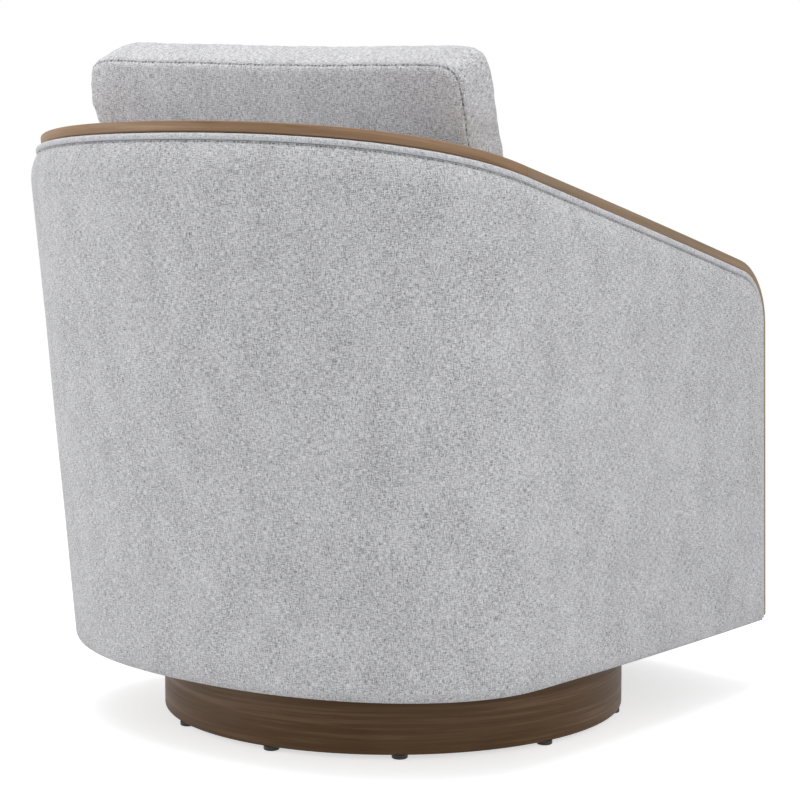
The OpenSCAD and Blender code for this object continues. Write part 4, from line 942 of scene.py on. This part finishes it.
# -------- seat cushion
# A loose box cushion with a foam core and a wrap of fibre, crowned on top, that lies on the deck between the arms. Its
# front edge follows the bowed rail.
SEAT_Z, SEAT_DEEP, SEAT_CROWN = 0.300, 0.138, 0.012
SEAT_POWER, SEAT_BOW_HALF, SEAT_IN = 7, 0.266, 0.005
SEAT_REAR = back_plane_y(SEAT_Z) - 0.003
SEAT_FRONT = front_y(SEAT_Z) + 0.005
SEAT_MID, SEAT_REACH = (SEAT_REAR + SEAT_FRONT) / 2, (SEAT_REAR - SEAT_FRONT) / 2


def seat_side(y):
    return side_x(max(y, SEAT_FRONT), SEAT_Z) - ARM_WALL - 0.002


def seat_form(turn, ring):
    """One point of the cushion, from its underside over the four sides to its crowned top."""
    ring = 1 - ring
    if ring < REAR_RING:
        share, up = 1 - ring / REAR_RING, 0.0
    elif ring < FRONT_RING:
        share, up = 0, mix(SEAT_IN, SEAT_DEEP - SEAT_IN, (ring - REAR_RING) / (FRONT_RING - REAR_RING))
    else:
        share, up = (ring - FRONT_RING) / (1 - FRONT_RING), SEAT_DEEP - 0.001
    u = squircle(turn, SEAT_POWER)
    middle = 1 - u[0] ** 2
    y = SEAT_MID + u[1] * (SEAT_REACH - SEAT_IN)
    y += (-1 if u[1] > 0 else 1) * 0.004 * middle - max(0.0, -u[1]) * FRONT_BOW * middle
    x = u[0] * (seat_side(y) - SEAT_IN)
    if ring > FRONT_RING:
        up += (SEAT_CROWN - 0.004) * pillow(u[0] * (1 - share), u[1] * (1 - share))
    return Vector((x * (1 - share), mix(y, SEAT_MID, share), SEAT_Z + up))


def seat_half(y):
    return np.array([seat_side(b) for b in y])


def seat_bow(x):
    return FRONT_BOW * np.maximum(0, 1 - (x / SEAT_BOW_HALF) ** 2)


def seat_held(co):
    """Flat on the deck, clear of the arms and the inside back, and no higher than the back cushion's foot there."""
    out = co.copy()
    half = seat_half(out[:, 1]) + 0.0035
    out[:, 0] = np.clip(out[:, 0], -half, half)
    out[:, 1] = np.minimum(out[:, 1], SEAT_REAR + 0.001)
    out[:, 1] = np.maximum(out[:, 1], SEAT_FRONT - 0.0045 - seat_bow(out[:, 0]))
    ease = np.clip((out[:, 1] + 0.06) / 0.06, 0, 1)
    top = (SEAT_Z + SEAT_DEEP + 0.020) * (1 - ease) + (BACK_REST - 0.0004) * ease
    out[:, 2] = np.clip(out[:, 2], SEAT_Z, top)
    return out


def seat_seams(co):
    shift = np.maximum(0, -(co[:, 1] - SEAT_MID) / SEAT_REACH) * seat_bow(co[:, 0])
    local = (co[:, 0], co[:, 1] + shift - SEAT_MID, co[:, 2] - SEAT_Z)
    halves = (seat_half(co[:, 1]), np.full(len(co), SEAT_REACH))
    return box_seams(halves, SEAT_POWER, (0.002, SEAT_DEEP - 0.002), local)


seat_cushion = box_cushion("seat_cushion", seat_form, 0.0075, 0.009, seat_held, seat_seams, np.eye(3))
set_points(seat_cushion, seat_held(points_of(seat_cushion)))
dress(seat_cushion, cloth_material("tweed_seat_cushion", seam=(0.0058, 0.0009, 0.8)), 180)
seated(seat_cushion, "seat", "tweed", "seat_cushion")

# -------- seat deck
# A pressed felt pad over the zigzag springs, cut to the inside of the covers. The seat cushion hides it.
DECK_Z, DECK_T, FRAME_TOP_Z = 0.2929, 0.0068, 0.284
DECK_FRONT = front_y(FRAME_TOP_Z) + 0.019
DECK_REAR = back_plane_y(DECK_Z) - 0.061


def deck_rear(x):
    limit = half_w(DECK_Z) - ARM_WALL - 0.001
    return DECK_REAR + BACK_CORNER * (1 - min(1.0, abs(x) / limit) ** 4) ** 0.25


loops, weave = [], []
for k in range(45):
    share = k / 44
    wide = side_x(mix(DECK_FRONT, DECK_REAR, share), DECK_Z) - ARM_WALL - 0.0015
    loop, laid = [], []
    for j in range(-20, 21):
        x = wide * j / 20
        y = mix(DECK_FRONT - bow(x), deck_rear(x), share)
        edge = min(1.0, 20 * min(share, 1 - share), 5 * (1 - abs(j) / 20) + 0.25)
        loop.append(Vector((x, y, DECK_Z + DECK_T * (0.55 + 0.45 * edge) - 0.0002)))
        laid.append((x, y))
    loops.append(loop + [Vector((p.x, p.y, DECK_Z + 0.0002)) for p in loop[::-1]])
    weave.append(laid + [(x + 1, y) for x, _ in laid[::-1]] + [(0, 0)])
deck = lofted("seat_deck", loops, weave)
dress(deck, cloth_material("deck_felt", flecks=0.6, clouds=0.6, slub=0.2, ground=(0.060, 0.056, 0.052, 1)))
seated(deck, "seat", "deck_felt", "seat_deck")

# -------- dust cover
# Thin black cloth stapled to the underside of the lower hoop, cut out round the rocker. It sags a little between its
# fixings.
DUST_Z, DUST_T, DUST_SAG = 0.1231, 0.0009, 0.0028
HOOP_Z, HOOP_INSET = 0.1225, 0.0425
OPEN_X, OPEN_Y = 0.1325, 0.1215


def hoop_point(side, part, value):
    if part == 0:
        x, y = round_point(value, HOOP_Z, HOOP_INSET)
        return side * x, y
    y = mix(round_starts(HOOP_Z), front_y(FRAME_TOP_Z) + BELOW_WELT + 0.001, value)
    return side * (side_x(y, HOOP_Z) - HOOP_INSET), y


outline = [hoop_point(*s) for s in stations(24, 12)]
outline += [(mix(outline[-1][0], outline[0][0], k / 12), outline[-1][1]) for k in range(1, 12)]
turns = np.array([atan2(x, y) for x, y in outline])
reach = np.array([hypot(x, y) for x, y in outline])
order = np.argsort(turns)
turns, reach = turns[order], reach[order]
open_corner = atan2(OPEN_X, OPEN_Y)
corners = [sx * a for sx in (-1, 1) for a in (open_corner, pi - open_corner)]
sample = sorted([-pi + 2 * pi * k / 112 for k in range(112)] + corners)
loops, weave = [], []
for a in sample + sample[:1]:
    s, c = sin(a), cos(a)
    inner = min(OPEN_X / max(abs(s), 1e-9), OPEN_Y / max(abs(c), 1e-9))
    outer = float(np.interp(a, turns, reach, period=2 * pi))
    top = [(mix(inner, outer, k / 12), DUST_Z - DUST_SAG * sin(pi * k / 12) ** 1.5) for k in range(13)]
    ring = top + [(r, z - DUST_T) for r, z in top[::-1]]
    loops.append([Vector((r * s, r * c, z)) for r, z in ring])
    weave.append([(r * s, r * c) for r, z in ring + ring[:1]])
dust = lofted("dust_cover", loops, weave)
dress(dust, cloth_material("black_cloth", flecks=0.5, clouds=0.2, ground=(0.016, 0.016, 0.017, 1)))
seated(dust, "seat", "black_cloth", "dust_cover")

# -------- plinth wall
# A drum of bent plywood faced with stained veneer, its edges eased. The veneer's grain runs round it, and its joint is
# at the front.
PLINTH_R, PLINTH_WALL, PLINTH_Z, PLINTH_H = 0.291, 0.020, 0.0055, 0.075
PLINTH_EDGE, INSIDE_EDGE = 0.003, 0.0008
PLINTH_IN = PLINTH_R - PLINTH_WALL
profile = []
for corner, z in enumerate((PLINTH_EDGE, PLINTH_H - PLINTH_EDGE)):
    for k in range(6):
        a = radians(-90 + 90 * corner + 18 * k)
        profile.append((PLINTH_R - PLINTH_EDGE + PLINTH_EDGE * cos(a), z + PLINTH_EDGE * sin(a)))
    if corner == 0:
        profile += [(PLINTH_R, mix(z, PLINTH_H - z, k / 5)) for k in range(1, 5)]
profile.append((PLINTH_IN + INSIDE_EDGE, PLINTH_H))
profile += [(PLINTH_IN, mix(PLINTH_H - INSIDE_EDGE, INSIDE_EDGE, k / 4)) for k in range(5)]
profile.append((PLINTH_IN + INSIDE_EDGE, 0))
heights = run_lengths([Vector((r, z, 0)) for r, z in profile + profile[:1]])
loops, weave = [], []
for k in range(161):
    a = 2 * pi * k / 160 - pi / 4
    loops.append([Vector((r * cos(a), r * sin(a), PLINTH_Z + z)) for r, z in profile])
    weave.append([(a * PLINTH_R, v) for v in heights])
plinth = lofted("plinth_wall_ring", loops, weave)
plinth_wood = wood_material("plinth_wood", (0.094, 0.049, 0.020), (0.165, 0.098, 0.052), (0.050, 0.024, 0.010),
                            figure=0.85, coat=0.04)
dress(plinth, plinth_wood, 32)
seated(plinth, "base", "stained_plinth", "plinth_wall_ring")

# -------- plywood and timber
# Birch ply is cut for the plinth's platform, the two hoops, the back ribs and the rail under the cap. Planed pine makes
# the rails, the posts, the struts and the glued blocks.


def finished(material, *nodes):
    """A CAD node keeps its shape and takes a finish."""
    for name in nodes:
        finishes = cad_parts[name].data.materials
        finishes.clear()
        finishes.append(material)


LAYERS = 1570.0


def ply_material(name, turn=(0, 0, 0)):
    """Birch ply, with its layers showing on the cut edges."""
    ply, tree = bare(bpy.data.materials, name)
    place = add(tree, "Mapping", Vector=add(tree, "TexCoord").outputs["Object"], Rotation=turn).outputs[0]
    layer = maths("SINE", times(add(tree, "SeparateXYZ", Vector=place).outputs["Z"], LAYERS))
    wavy = plus(layer, times(noise(place, (60, 60, 900), 2.0), 0.5))
    grain = add(tree, "Group", {"node_tree": wood}, Place=place, Base=(0.56, 0.42, 0.26, 1), Figure=0.6, Pores=0.3,
                Pale_streak=(0.66, 0.52, 0.34, 1), Dark_streak=(0.42, 0.28, 0.16, 1)).outputs
    glue = times(ramp(wavy, 0.1, 0.6), 0.45)
    shade = blend(glue, grain["Color"], (0.36, 0.23, 0.12, 1))
    show(tree, add(tree, "BsdfPrincipled", Base_Color=shade, Roughness=0.7, Specular_IOR_Level=0.3,
                   Normal=bump(grain["Height"], 0.3, 0.0004)))
    return ply


finished(ply_material("ply_flat"), "plinth_platform", "lower_hoop", "seat_hoop", "top_rail")
finished(ply_material("ply_upright", (0, pi / 2, 0)), "back_ribs")
PINE = ((0.60, 0.43, 0.25), (0.70, 0.54, 0.34), (0.44, 0.27, 0.13))
for word, turn, nodes in (
        ("across", (0, 0, 0), ("cross_rails", "rear_rail", "front_rail", "plinth_blocks", "corner_blocks")),
        ("lengthways", (0, 0, pi / 2), ("side_rail_left", "side_rail_right", "rear_struts")),
        ("upright", (0, pi / 2, 0), ("arm_posts_front", "arm_posts_rear"))):
    finished(wood_material("pine_" + word, *PINE, place="Object", turn=turn, figure=0.7, pores=0.15, coat=0.0,
                           stretch=(0.6, 0.35, 0.35)), *nodes)

# -------- fibreboard
# A sheet of brown fibreboard is bent round the frame under the outside cover, to give it an even curve.


def speckled(name, base, light, dark, size, rough, relief=0.2, metal=0.0, level=0.4):
    """A plain finish with fine grain in its colour, roughness and surface."""
    made, tree = bare(bpy.data.materials, name)
    place = add(tree, "TexCoord").outputs["Object"]
    fine = noise(place, (size, size, size), 2.0, 0.6)
    broad = noise(place, (size / 9, size / 7, size / 8), 3.0, 0.5, shift=4.0)
    shade = blend(ramp(fine, 0.5, 0.7), (*base, 1), (*light, 1))
    shade = blend(times(ramp(broad, 0.55, 0.35), 0.6), shade, (*dark, 1))
    show(tree, add(tree, "BsdfPrincipled", Base_Color=shade, Metallic=metal, Specular_IOR_Level=level,
                   Roughness=ramp(broad, 0.3, 0.7, rough - 0.07, rough + 0.09), Normal=bump(fine, relief, 0.0003)))
    return made


board = speckled("brown_board", (0.26, 0.17, 0.10), (0.34, 0.24, 0.15), (0.17, 0.11, 0.06), 900, 0.85, 0.4)
finished(board, "outer_board")

# -------- glides and bushes
# Dark nylon discs with a domed edge are nailed under the plinth wall. Bushes of the same nylon line the rocker's
# cheeks.
nylon = speckled("dark_nylon", (0.030, 0.027, 0.025), (0.042, 0.038, 0.035), (0.020, 0.018, 0.017), 700, 0.42, 0.1)
finished(nylon, "glides", "pivot_bushes")

# -------- swivel and rocker
# Pressed and folded steel plates with a dull zinc plating turn on a ring of balls in a brass cage, and the seat plate
# rocks on one shaft between the cheeks of the base plate. Nuts, bolts, nails and the kingpin are plated as well.
zinc = speckled("zinc_plate", (0.52, 0.53, 0.54), (0.60, 0.61, 0.62), (0.40, 0.41, 0.43), 420, 0.36, 0.08, metal=1.0)
finished(zinc, "glide_nails", "swivel_lower_plate", "lower_plate_bolts", "kingpin", "swivel_upper_plate", "rocker_base",
         "rocker_base_bolts", "stop_posts", "rocker_seat_plate", "pivot_shaft", "seat_plate_bolts")
steel = speckled("bright_steel", (0.62, 0.63, 0.64), (0.68, 0.69, 0.70), (0.52, 0.53, 0.55), 900, 0.16, 0.03, metal=1.0)
finished(steel, "bearing_balls")
brass = speckled("rolled_brass", (0.55, 0.38, 0.14), (0.62, 0.45, 0.19), (0.42, 0.27, 0.10), 500, 0.34, 0.08, metal=1.0)
finished(brass, "ball_retainer")

# -------- springs
# Coil springs and zigzag seat springs of hardened wire, their clips and the shaft's clips, all dipped in black lacquer.
lacquer = speckled("black_lacquer", (0.020, 0.020, 0.022), (0.032, 0.032, 0.034), (0.012, 0.012, 0.013), 600, 0.36, 0.1,
                   level=0.5)
finished(lacquer, "rocker_springs_front", "rocker_springs_rear", "seat_springs", "spring_clips", "shaft_clips")

# -------- spring cups and bump stops
# Moulded cups of black plastic hold the ends of the coils, and moulded rubber stops end the rock.
cup = speckled("black_moulding", (0.016, 0.016, 0.016), (0.024, 0.024, 0.024), (0.010, 0.010, 0.010), 800, 0.5, 0.15)
finished(cup, "spring_cups_lower", "spring_cups_upper")
stop = speckled("moulded_rubber", (0.013, 0.013, 0.013), (0.020, 0.020, 0.020), (0.009, 0.009, 0.009), 600, 0.78, 0.25)
finished(stop, "bump_stops")
